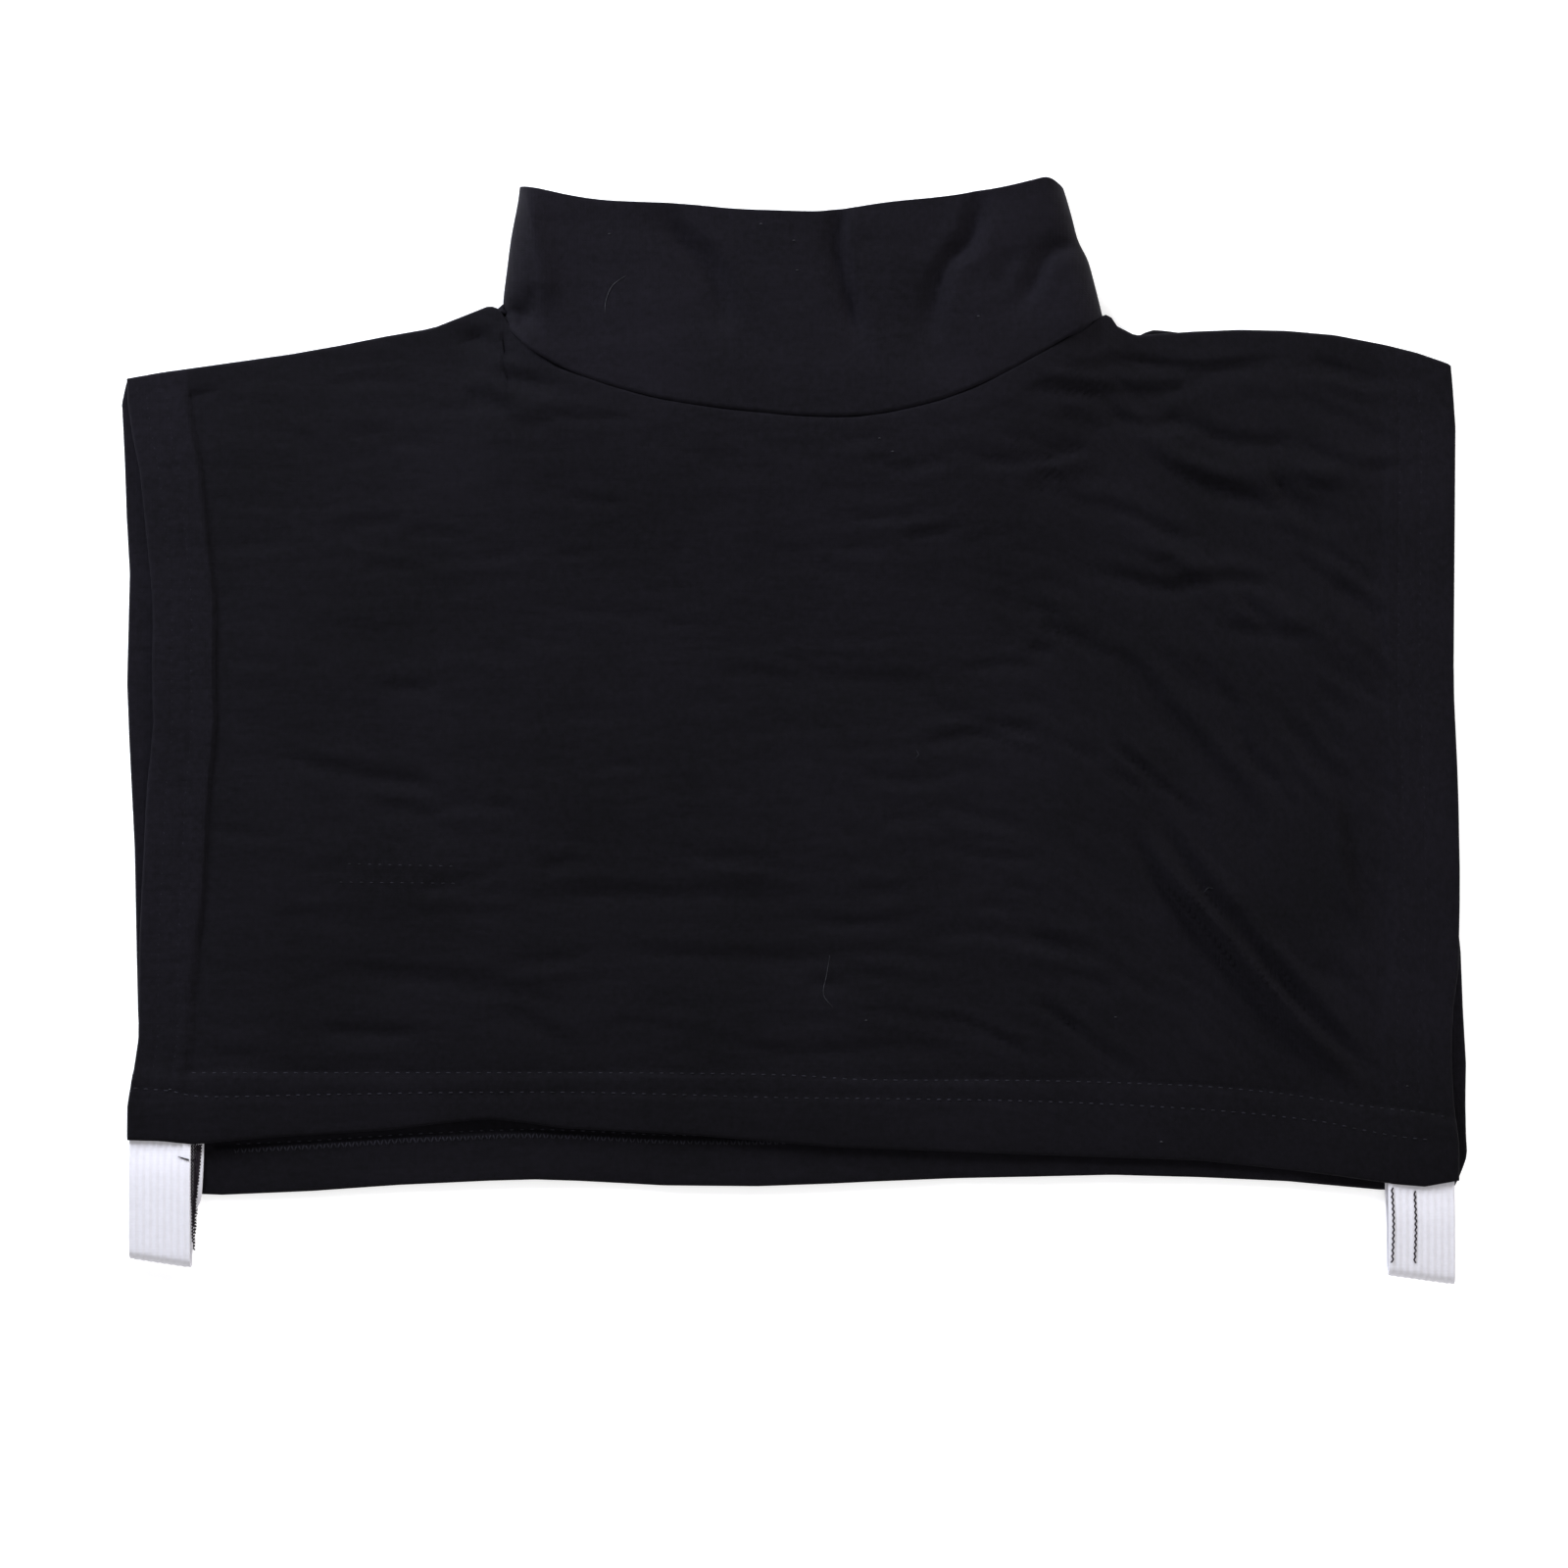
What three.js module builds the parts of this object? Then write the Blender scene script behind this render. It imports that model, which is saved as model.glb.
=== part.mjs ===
// A black jersey collar with two bibs, laid flat on its back. Millimetres, with the origin on the table
// under the middle of its outline, +X to the right as it is looked at, +Y towards the collar, +Z up.
import * as THREE from "three";

// Thickness of the cloth
const PLY = 1.0; // one layer of jersey
const TURNED = 2.0; // two layers, where a hem or a seam is turned in
const COLLAR_WALL = 2.0; // the collar is folded over at its top, so its wall is two layers
const ELASTIC = 1.2;
const GAP = 0.3; // kept between pieces that lie on each other
const SEAM_GAP = 0.6; // kept between the collar and the panels' neck edges

// Sewing
const HEM = 21; // from a panel's edge to the stitching of its hem
const SEAM = 8; // turned in along the shoulders and the neck
const HEM_STEP = 1; // over which a hem drops to one layer
const ROUNDING = 1.2; // how far the roundness of a folded edge reaches in
const ROUND_SHARE = 0.45; // of its thickness that a folded edge keeps at its very rim
const STITCH_DIP = 0.4; // the stitching pulls the cloth down by this
const HIDDEN = 0.8; // the back's shoulders stay this far behind the front's

// Heights above the table
const LOFT = 3.4; // air between the panels away from their hems
const HEM_LOFT = 1.2; // air between the two bottom hems, at the middle
const COLLAR_HEIGHT = 12.6;
const COLLAR_SIDE = 3.3; // height of the collar's side creases
const FRONT_ROLL = 9; // how far in the collar's front rounds over at a side
const BACK_ROLL = 3.5;
const NECK_SPREAD = 46; // how far down the front the collar's height is felt
const STRAP_HEIGHT = 7; // of a strap's fold
const STRAP_LIFT = 3.4; // by which the straps hold the front's bottom corners up
const STRAP_SPREAD = 30; // how far from the straps that is felt
const STRAP_TUCK = 12; // length of strap under the front's hem
const STRAP_DROP = 10; // below the front's hem, where a strap has reached its full height

// How far in from its edges the front panel rises: where the rise starts and where it ends
const RISE_FROM_SIDE = [6, 45];
const RISE_FROM_BOTTOM = [4, 40];
const RISE_FROM_TOP = [2, 30];
const HEM_RISE_FROM_SIDE = [25, 90];
const HEM_RISE_FROM_BOTTOM = [15, 45];
const FOLDS_FROM_TOP = [0, 12];
const SLOPE_STEP = 0.5; // between the heights that give the front's slope
const STEEPEST = 1.6; // limit of how much a slope thickens the cloth, measured upright

// How many grid lines each surface gets
const FRONT_ACROSS = 26;
const FRONT_NECK = 23;
const FRONT_UP = 22;
const BACK_ACROSS = 14;
const BACK_UP = 14;
const COLLAR_FRONT_ACROSS = 9;
const COLLAR_BACK_ACROSS = 6;
const COLLAR_ROUND = 6;
const COLLAR_UP = 12;
const STRAP_ACROSS = 4;
const STRAP_BEND = 9;
const LINE_SPACE = 5; // kept between the neck's grid lines and the others

// Turns rows of numbers into rows with named columns.
function table(columns, ...rows) {
  return rows.map((row) =>
    Object.fromEntries(columns.map((name, i) => [name, row[i]])),
  );
}

// Where the collar meets the front, left to right.
const neckSeam = table(
  ["x", "y"],
  [-88.6, 124.2],
  [-81.1, 116.8],
  [-72.1, 110.5],
  [-58.9, 106],
  [-45.1, 101.8],
  [-29.8, 99.1],
  [-3.1, 96.1],
  [8.2, 95.5],
  [21.1, 95.5],
  [38.2, 98.8],
  [49, 101.8],
  [64.3, 109],
  [81.8, 118.9],
  [94.2, 126.6],
);
const shoulderLeft = table(
  ["x", "y"],
  [-203.6, 107.6],
  [-198.4, 108.8],
  [-176.8, 111.8],
  [-148, 115.9],
  [-119.2, 121.6],
  [-104.2, 124],
);
// The front's corners stand up a little beside the collar.
const neckEndLeft = table(
  ["x", "y"],
  [-97.6, 128],
  [-92.8, 129.8],
  [-90.2, 128.6],
  [-89.3, 124],
);
const neckEndRight = table(
  ["x", "y"],
  [94.8, 126],
  [95.6, 127],
  [96.6, 126.4],
  [98.4, 123.6],
  [104, 120.8],
);
const shoulderRight = table(
  ["x", "y"],
  [111.1, 122.2],
  [125.5, 121.9],
  [139.9, 122.8],
  [161.5, 121.6],
  [183.2, 117.4],
  [197.5, 113.5],
  [200.4, 111.6],
);
const frontBottom = table(
  ["x", "y"],
  [-203.2, -124.6],
  [-194.5, -124.6],
  [-184.9, -126.1],
  [-162.2, -124],
  [-123.8, -121.6],
  [-109.3, -119.8],
  [-99.8, -118.6],
  [-92.2, -118.3],
  [-82.6, -119.2],
  [-71.2, -121],
  [-32.2, -123.1],
  [12.2, -126.8],
  [75.1, -129.2],
  [124, -130.9],
  [157.7, -134.5],
  [180.4, -137.5],
  [189.2, -139.4],
  [194.5, -138.2],
  [202.7, -136.9],
);
const frontLeft = table(
  ["x", "y"],
  [-203.2, -124.6],
  [-203.6, -119],
  [-202.5, -107.5],
  [-200, -99],
  [-199.8, -65],
  [-197.5, -17.6],
  [-195.4, 2],
  [-196, 18],
  [-195.4, 37.6],
  [-199, 74],
  [-200.5, 86.5],
  [-202.9, 93],
  [-203.6, 107.6],
);
const frontRight = table(
  ["x", "y"],
  [202.7, -136.9],
  [202.9, -128],
  [200.8, -110],
  [200.6, -88],
  [202.7, -73.6],
  [203.2, -46.4],
  [202.6, -16],
  [201.2, 14],
  [201.8, 94],
  [200.4, 111.6],
);
const backBottom = table(
  ["x", "y"],
  [-195, -140.6],
  [-179.8, -141.4],
  [-162.4, -141.8],
  [-140.8, -139.7],
  [-104.8, -137.5],
  [-76, -136.7],
  [-32.9, -139],
  [-4, -138.8],
  [39.1, -136.7],
  [104, -135.2],
  [154.3, -137.5],
  [180.2, -140.1],
  [198.2, -139.9],
);
const backLeft = table(
  ["x", "y"],
  [-195, -140.6],
  [-198.4, -124],
  [-200.5, -84],
  [-201.4, -36],
  [-203.8, 12],
  [-202.9, 48],
  [-203.9, 66],
  [-204.4, 80],
  [-204.6, 95],
  [-205.6, 101],
  [-203.8, 106.8],
);
const backRight = table(
  ["x", "y"],
  [198.2, -139.9],
  [203.8, -135.6],
  [205.6, -107],
  [204.4, -88],
  [203.8, -69],
  [201.4, -46],
  [200.2, 44],
  [199.6, 111],
);
// The back's neck edge ends a little lower than the front's.
const backNeckLeft = { x: -90.4, y: 122.5 };
const backNeckRight = { x: 95.6, y: 124.6 };
const backNeckLines = [-85, -72, -45, -15, 8, 21, 45, 64, 82];
const collarTop = table(
  ["x", "y"],
  [-83.8, 166],
  [-76, 164.5],
  [-61.6, 161.2],
  [-32.9, 160.3],
  [-18.4, 158.5],
  [10.3, 157.7],
  [24.8, 160.4],
  [46.4, 162.4],
  [68, 166],
  [77.5, 168.8],
  [82.3, 165.5],
);
const collarLeft = table(
  ["x", "y"],
  [-88.6, 124.2],
  [-89, 131],
  [-88, 138.4],
  [-86.5, 150.4],
  [-84.1, 162.4],
  [-83.8, 166],
);
const collarRight = table(
  ["x", "y"],
  [94.2, 126.6],
  [92.8, 132.4],
  [89.8, 144],
  [86.5, 149.5],
  [85, 156.4],
  [82.3, 165.5],
);

// Folds of the cloth, each along three points: a valley where the rise is below zero, else a ridge.
const FOLD_COLUMNS = ["x1", "y1", "x2", "y2", "x3", "y3", "width", "rise"];
const frontFolds = table(
  FOLD_COLUMNS,
  [102, -34, 126, -66, 168, -111, 7, -2.2],
  [110, -32, 136, -66, 172, -103, 7, 2],
  [119, -28, 145, -60, 184, -104, 7, -1.6],
  [93.5, 22.7, 113.6, 6.5, 143.3, -32.6, 9, -1.8],
  [146.3, 8.3, 167.3, -17.3, 181.7, -68.9, 9, -1.5],
  [99.2, 90.8, 116.6, 79.1, 147.2, 70.7, 9, -1.4],
  [146.3, 80, 156.8, 65.9, 163.4, 58, 8, -1.2],
  [86, 50.6, 114.5, 44.3, 152.9, 44.3, 9, -1.3],
  [81.2, 96.5, 93.5, 91.7, 119.3, 95.3, 8, -1.3],
  [-158.3, -7.1, -128.6, -14.3, -106.7, -19.1, 9, -1.3],
  [-143, -71.9, -109.4, -74.9, -72.2, -83, 9, -1.5],
  [-89.9, -51.5, -54.5, -48.8, 8.9, -50, 9, -1.1],
  [-56.6, -67.1, -12.2, -69.8, 34.4, -67.1, 9, -1.1],
  [-4.7, 20.6, 9.8, 16.7, 46.7, 15.2, 9, -1],
  [-184, 101, -178.4, 102.8, -173.3, 106.7, 6, -1],
);
const collarFolds = table(
  FOLD_COLUMNS,
  [-38, 154, -27.5, 142.7, -20.3, 126.2, 8, -1.8],
  [14.6, 158, 14, 140, 19.7, 121.7, 7, -2],
  [55.7, 159.2, 47.3, 144.2, 40.7, 120.2, 8, -2.6],
  [60, 162, 56, 148, 50, 124, 8, 1],
  [86.3, 147.8, 76, 144, 69.8, 132.2, 7, -2],
  [-80, 164, -77.5, 148, -76.5, 134, 6, 0.8],
  [-88, 127, -85, 128, -81, 126, 6, -2.2],
);

const lerp = THREE.MathUtils.lerp;
const smooth = THREE.MathUtils.smoothstep;

// The value of one column where another, which grows down the table, has the given value.
function lookup(rows, from, to, value) {
  const after = rows.findIndex((row) => row[from] >= value);
  if (after === 0) return rows[0][to];
  if (after < 0) return rows.at(-1)[to];
  const a = rows[after - 1];
  const b = rows[after];
  return lerp(a[to], b[to], (value - a[from]) / (b[from] - a[from]));
}

function shifted(rows, dy) {
  return rows.map((row) => ({ x: row.x, y: row.y + dy }));
}

function evenly(from, to, count) {
  return Array.from({ length: count }, (_, i) =>
    lerp(from, to, i / (count - 1)),
  );
}

const frontOutline = {
  top: [
    ...shoulderLeft,
    ...neckEndLeft,
    ...shifted(neckSeam.slice(1, -1), -SEAM_GAP),
    ...neckEndRight,
    ...shoulderRight,
  ],
  bottom: frontBottom,
  left: frontLeft,
  right: frontRight,
};

// The back's top edge keeps a little below the front's, which hides it.
const backOutline = {
  top: [
    { x: backLeft.at(-1).x, y: backLeft.at(-1).y },
    ...shifted([...shoulderLeft.slice(1), neckEndLeft[0]], -HIDDEN),
    backNeckLeft,
    ...shifted(neckSeam.slice(1, -1), -SEAM_GAP),
    backNeckRight,
    ...shifted([...neckEndRight.slice(-2), ...shoulderRight.slice(0, -1)], -HIDDEN),
    { x: backRight.at(-1).x, y: backRight.at(-1).y },
  ],
  bottom: backBottom,
  left: backLeft,
  right: backRight,
};

const strapLeft = {
  left: -202.7,
  right: -183.8,
  hem: -126.4,
  foldLeft: -160.9,
  foldRight: -163.7,
  backHem: -141.9,
  backEnd: -119,
  backShift: 4.2,
};
const strapRight = {
  left: 181,
  right: 201.4,
  hem: -139.8,
  foldLeft: -166,
  foldRight: -168.8,
  backHem: -140.6,
  backEnd: -121,
  backShift: -1,
};
// Where a strap leaves the front's hem: how far below the hem, and how far it has risen.
const strapLeaves = table(["below", "rise"], [0, 0], [5, 1.2]);
// Where it climbs onto the back's hem: how far below that hem, and its height.
const strapClimbs = table(
  ["below", "height"],
  [5, 0],
  [3.2, 0.7],
  [1.6, 1.8],
  [0.2, TURNED + GAP],
);

// Fills four edges that share their corners, with u from left to right and v from bottom to top.
function patch({ top, bottom, left, right }) {
  const acrossAt = (rows, share) => {
    const x = lerp(rows[0].x, rows.at(-1).x, share);
    return { x, y: lookup(rows, "x", "y", x) };
  };
  const upAt = (rows, share) => {
    const y = lerp(rows[0].y, rows.at(-1).y, share);
    return { x: lookup(rows, "y", "x", y), y };
  };
  return (u, v) => {
    const low = acrossAt(bottom, u);
    const high = acrossAt(top, u);
    const near = upAt(left, v);
    const far = upAt(right, v);
    const along = (axis) =>
      lerp(low[axis], high[axis], v) +
      lerp(near[axis], far[axis], u) -
      lerp(
        lerp(bottom[0][axis], bottom.at(-1)[axis], u),
        lerp(top[0][axis], top.at(-1)[axis], u),
        v,
      );
    return { x: along("x"), y: along("y") };
  };
}

function distanceToLine(x, y, a, b) {
  const dx = b.x - a.x;
  const dy = b.y - a.y;
  const share = THREE.MathUtils.clamp(
    ((x - a.x) * dx + (y - a.y) * dy) / (dx * dx + dy * dy),
    0,
    1,
  );
  return Math.hypot(x - a.x - share * dx, y - a.y - share * dy);
}

function distanceToPath(x, y, path) {
  const legs = path
    .slice(1)
    .map((point, i) => distanceToLine(x, y, path[i], point));
  return Math.min(...legs);
}

// Height that the folds add at a point.
function foldRise(x, y, folds) {
  return folds.reduce((sum, fold) => {
    const path = [
      { x: fold.x1, y: fold.y1 },
      { x: fold.x2, y: fold.y2 },
      { x: fold.x3, y: fold.y3 },
    ];
    const away = distanceToPath(x, y, path) / fold.width;
    return sum + fold.rise * Math.exp(-away * away);
  }, 0);
}

// A quarter round: 0 at a distance of 0, and 1 from the given radius on.
function quarterRound(distance, radius) {
  const left = 1 - THREE.MathUtils.clamp(distance / radius, 0, 1);
  return Math.sqrt(1 - left * left);
}

// A closed solid between an outer and an inner sheet of points, grid[row][column].
// A sheet that wraps is a tube: its last column joins its first.
function shell(grid, wraps = false) {
  const rows = grid.length;
  const columns = grid[0].length;
  const positions = [];
  grid.forEach((row) =>
    row.forEach(({ outer, inner }) => {
      positions.push(outer.x, outer.y, outer.z);
      positions.push(inner.x, inner.y, inner.z);
    }),
  );
  const outerAt = (j, i) => 2 * (j * columns + (i % columns));
  const innerAt = (j, i) => outerAt(j, i) + 1;
  const index = [];
  const quad = (a, b, c, d) => index.push(a, b, c, a, c, d);
  const lastColumn = wraps ? columns : columns - 1;
  for (let j = 0; j < rows - 1; j += 1) {
    for (let i = 0; i < lastColumn; i += 1) {
      quad(
        outerAt(j, i),
        outerAt(j, i + 1),
        outerAt(j + 1, i + 1),
        outerAt(j + 1, i),
      );
      quad(
        innerAt(j, i),
        innerAt(j + 1, i),
        innerAt(j + 1, i + 1),
        innerAt(j, i + 1),
      );
    }
  }
  for (let i = 0; i < lastColumn; i += 1) {
    quad(innerAt(0, i), innerAt(0, i + 1), outerAt(0, i + 1), outerAt(0, i));
    const end = rows - 1;
    quad(
      outerAt(end, i),
      outerAt(end, i + 1),
      innerAt(end, i + 1),
      innerAt(end, i),
    );
  }
  for (let j = 0; j < rows - 1 && !wraps; j += 1) {
    quad(outerAt(j, 0), outerAt(j + 1, 0), innerAt(j + 1, 0), innerAt(j, 0));
    const end = columns - 1;
    quad(
      innerAt(j, end),
      innerAt(j + 1, end),
      outerAt(j + 1, end),
      outerAt(j, end),
    );
  }
  const geometry = new THREE.BufferGeometry();
  geometry.setAttribute(
    "position",
    new THREE.Float32BufferAttribute(positions, 3),
  );
  geometry.setIndex(index);
  geometry.computeVertexNormals();
  return geometry;
}

// Shares of a panel's width or height for its grid lines: close together at the two edges and where
// the turned-in cloth ends, evenly spaced elsewhere.
function gridLines(length, turnedFirst, turnedLast, evenLines) {
  const turnedLines = (width) => [
    0,
    ROUNDING,
    ...(width > SEAM ? [width / 2] : []),
    width - HEM_STEP,
    width,
  ];
  const first = turnedLines(turnedFirst);
  const last = turnedLines(turnedLast).reverse();
  return [
    ...first,
    ...evenly(turnedFirst, length - turnedLast, evenLines).slice(1, -1),
    ...last.map((inset) => length - inset),
  ].map((at) => at / length);
}

// How thick a panel is at given distances from its edges: two layers in its hems, one elsewhere.
function panelThickness(fromSide, fromBottom, fromTop) {
  const turned = Math.max(
    1 - smooth(fromSide, HEM - HEM_STEP, HEM),
    1 - smooth(fromBottom, HEM - HEM_STEP, HEM),
    1 - smooth(fromTop, SEAM - HEM_STEP, SEAM),
  );
  return lerp(PLY, TURNED, turned);
}

// The share of its full thickness that a panel keeps near an edge, so that the edge is round.
function edgeShare(fromEdge) {
  return lerp(ROUND_SHARE, 1, quarterRound(fromEdge, ROUNDING));
}

// Builds a panel from its outline and from the height of its upper side.
function panel({ outline, acrossLines, upLines, upperAt, floor }) {
  const pointAt = patch(outline);
  const grid = upLines.map((v) =>
    acrossLines.map((u) => {
      const { x, y } = pointAt(u, v);
      const edges = {
        side: Math.min(
          x - lookup(outline.left, "y", "x", y),
          lookup(outline.right, "y", "x", y) - x,
        ),
        bottom: y - lookup(outline.bottom, "x", "y", x),
        top: lookup(outline.top, "x", "y", x) - y,
      };
      const thick = panelThickness(edges.side, edges.bottom, edges.top);
      const { upper, slope } = upperAt(x, y, thick, edges);
      const lower = Math.max(upper - thick * slope, floor);
      const nearest = Math.min(edges.side, edges.bottom, edges.top);
      const lost = (1 - edgeShare(Math.max(nearest, 0))) * thick;
      return {
        outer: new THREE.Vector3(x, y, upper - lost),
        inner: new THREE.Vector3(x, y, lower),
      };
    }),
  );
  return shell(grid);
}

// Height of the collar's front, from its nearest side, with the roundness of its side folds.
function collarFrontHeight(fromSide, roll) {
  return lerp(COLLAR_SIDE, COLLAR_HEIGHT, quarterRound(fromSide, roll));
}

// Height of the front panel's upper side: resting on the back's hems at the edges, lifted by the air
// between the panels, by the collar at the neck and by the straps at the bottom corners.
function frontHeight(x, y) {
  const outline = frontOutline;
  const fromSide = Math.min(
    x - lookup(outline.left, "y", "x", y),
    lookup(outline.right, "y", "x", y) - x,
  );
  const fromBottom = y - lookup(outline.bottom, "x", "y", x);
  const fromTop = lookup(outline.top, "x", "y", x) - y;
  const rest = TURNED + GAP + TURNED;
  const inField =
    smooth(fromSide, ...RISE_FROM_SIDE) *
    smooth(fromBottom, ...RISE_FROM_BOTTOM) *
    smooth(fromTop, ...RISE_FROM_TOP);
  const alongHem =
    smooth(fromSide, ...HEM_RISE_FROM_SIDE) *
    (1 - smooth(fromBottom, ...HEM_RISE_FROM_BOTTOM));
  const inMiddle = PLY + LOFT + PLY;
  const flat = lerp(rest, inMiddle, inField) + HEM_LOFT * alongHem * (1 - inField);

  const fromNeck = distanceToPath(x, y, neckSeam);
  const fromNeckEnd = Math.min(x - neckSeam[0].x, neckSeam.at(-1).x - x);
  const roll = FRONT_ROLL + fromNeck;
  const neckHeight = collarFrontHeight(fromNeckEnd + fromNeck / 2, roll);
  const neckPull = Math.exp(-((fromNeck / NECK_SPREAD) ** 2));
  const atNeck = lerp(flat, Math.max(flat, neckHeight), neckPull);

  const held = [strapLeft, strapRight].reduce((sum, strap) => {
    const middle = (strap.left + strap.right) / 2;
    const away = Math.hypot(x - middle, y - strap.hem) / STRAP_SPREAD;
    return sum + Math.exp(-(away ** 4));
  }, 0);

  const onStitches = Math.max(
    Math.exp(-((fromSide - HEM) ** 2)),
    Math.exp(-((fromBottom - HEM) ** 2)),
  );
  const belowTop = smooth(fromTop, ...FOLDS_FROM_TOP);
  const folded = foldRise(x, y, frontFolds) * belowTop * (1 - held);
  const height = atNeck + STRAP_LIFT * held + folded - STITCH_DIP * onStitches;
  return Math.max(height, rest - STITCH_DIP);
}

function frontPanel() {
  const width = frontOutline.top.at(-1).x - frontOutline.top[0].x;
  const share = (x) => (x - frontOutline.top[0].x) / width;
  const neckLeft = share(neckSeam[0].x);
  const neckRight = share(neckSeam.at(-1).x);
  const sides = gridLines(width, HEM, HEM, FRONT_ACROSS);
  const acrossLines = [
    ...sides.filter((u) => u < share(neckEndLeft[0].x - LINE_SPACE)),
    ...neckEndLeft.map((point) => share(point.x)),
    ...evenly(neckLeft, neckRight, FRONT_NECK).slice(1, -1),
    ...neckEndRight.map((point) => share(point.x)),
    ...sides.filter((u) => u > share(neckEndRight.at(-1).x + LINE_SPACE)),
  ];
  const height = frontLeft.at(-1).y - frontLeft[0].y;
  return panel({
    outline: frontOutline,
    acrossLines,
    upLines: gridLines(height, HEM, SEAM, FRONT_UP),
    floor: TURNED + GAP,
    upperAt: (x, y) => {
      const upper = frontHeight(x, y);
      const dx = (frontHeight(x + SLOPE_STEP, y) - upper) / SLOPE_STEP;
      const dy = (frontHeight(x, y + SLOPE_STEP) - upper) / SLOPE_STEP;
      return { upper, slope: Math.min(Math.hypot(1, dx, dy), STEEPEST) };
    },
  });
}

function backPanel() {
  const width = backOutline.top.at(-1).x - backOutline.top[0].x;
  const share = (x) => (x - backOutline.top[0].x) / width;
  const sides = gridLines(width, HEM, HEM, BACK_ACROSS);
  const acrossLines = [
    ...sides.filter((u) => u < share(backNeckLeft.x - LINE_SPACE)),
    ...[backNeckLeft.x, ...backNeckLines, backNeckRight.x].map(share),
    ...sides.filter((u) => u > share(backNeckRight.x + LINE_SPACE)),
  ];
  const height = backLeft.at(-1).y - backLeft[0].y;
  return panel({
    outline: backOutline,
    acrossLines,
    upLines: gridLines(height, HEM, SEAM, BACK_UP),
    floor: 0,
    upperAt: (x, y, thick) => ({ upper: thick, slope: 1 }),
  });
}

// The collar's outer side. Going round, it runs along the front from left to right, then back.
function collarPoint(frontPatch, backPatch, { inset, side, front }, v) {
  const width = neckSeam.at(-1).x - neckSeam[0].x;
  const u = side === "left" ? inset / width : 1 - inset / width;
  const { x, y } = (front ? frontPatch : backPatch)(u, v);
  if (!front) {
    return new THREE.Vector3(x, y, COLLAR_SIDE * (1 - quarterRound(inset, BACK_ROLL)));
  }
  const folded = foldRise(x, y, collarFolds) * quarterRound(inset, FRONT_ROLL);
  return new THREE.Vector3(x, y, collarFrontHeight(inset, FRONT_ROLL) + folded);
}

// Distances in from a side of the collar for its grid lines, from the crease to the middle.
function collarLines(roll, steps, middle) {
  const round = evenly(0, Math.PI / 2, COLLAR_ROUND).map(
    (angle) => roll * (1 - Math.cos(angle)),
  );
  return [...round, ...evenly(roll, middle, steps).slice(1)];
}

function collar() {
  const middle = (neckSeam.at(-1).x - neckSeam[0].x) / 2;
  const frontPatch = patch({
    top: collarTop,
    bottom: neckSeam,
    left: collarLeft,
    right: collarRight,
  });
  const drop = (y) => y - HIDDEN;
  const backPatch = patch({
    top: collarTop.map(({ x, y }, i, rows) => ({
      x,
      y: i === 0 || i === rows.length - 1 ? y : drop(y),
    })),
    bottom: neckSeam,
    left: collarLeft,
    right: collarRight,
  });
  const frontLines = collarLines(FRONT_ROLL, COLLAR_FRONT_ACROSS, middle);
  const backLines = collarLines(BACK_ROLL, COLLAR_BACK_ACROSS, middle);
  const stations = [
    ...frontLines.map((inset) => ({ inset, side: "left", front: true })),
    ...frontLines
      .slice(0, -1)
      .reverse()
      .map((inset) => ({ inset, side: "right", front: true })),
    ...backLines.slice(1).map((inset) => ({ inset, side: "right", front: false })),
    ...backLines
      .slice(1, -1)
      .reverse()
      .map((inset) => ({ inset, side: "left", front: false })),
  ];
  const outer = evenly(0, 1, COLLAR_UP).map((v) =>
    stations.map((station) => collarPoint(frontPatch, backPatch, station, v)),
  );
  return shell(thickened(outer, COLLAR_WALL, true), true);
}

// Adds the inner side of a sheet, its thickness away from each outer point along the surface's normal.
function thickened(outer, thickness, wraps = false) {
  const rows = outer.length;
  const columns = outer[0].length;
  const at = (j, i) => {
    const row = outer[THREE.MathUtils.clamp(j, 0, rows - 1)];
    const column = wraps
      ? (i + columns) % columns
      : THREE.MathUtils.clamp(i, 0, columns - 1);
    return row[column];
  };
  return outer.map((row, j) =>
    row.map((point, i) => {
      const across = at(j, i + 1).clone().sub(at(j, i - 1));
      const up = at(j + 1, i).clone().sub(at(j - 1, i));
      const normal = across.cross(up).normalize();
      return {
        outer: point,
        inner: point.clone().addScaledVector(normal, -thickness),
      };
    }),
  );
}

// A strap's path seen from its side: from under the front's hem, round the fold and onto the back's
// hem. Past the fold it shifts sideways, by a share that grows to 1 at its end.
function strapPath(strap, fold) {
  const underFront = TURNED + GAP + ELASTIC + GAP + ELASTIC;
  const radius = STRAP_HEIGHT / 2;
  const down = [
    { y: strap.hem + STRAP_TUCK, z: underFront },
    ...strapLeaves.map(({ below, rise }) => ({
      y: strap.hem - below,
      z: underFront + rise,
    })),
    { y: strap.hem - STRAP_DROP, z: STRAP_HEIGHT },
  ];
  const bend = evenly(Math.PI / 2, -Math.PI / 2, STRAP_BEND).map((angle) => ({
    y: fold + radius - radius * Math.cos(angle),
    z: radius + radius * Math.sin(angle),
  }));
  const back = [
    ...strapClimbs.map(({ below, height }) => ({
      y: strap.backHem - below,
      z: height,
    })),
    { y: strap.backEnd, z: TURNED + GAP },
  ];
  return [
    ...[...down, ...bend].map((point) => ({ ...point, shifted: 0 })),
    ...back.map((point, i) => ({ ...point, shifted: (i + 1) / back.length })),
  ];
}

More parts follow.
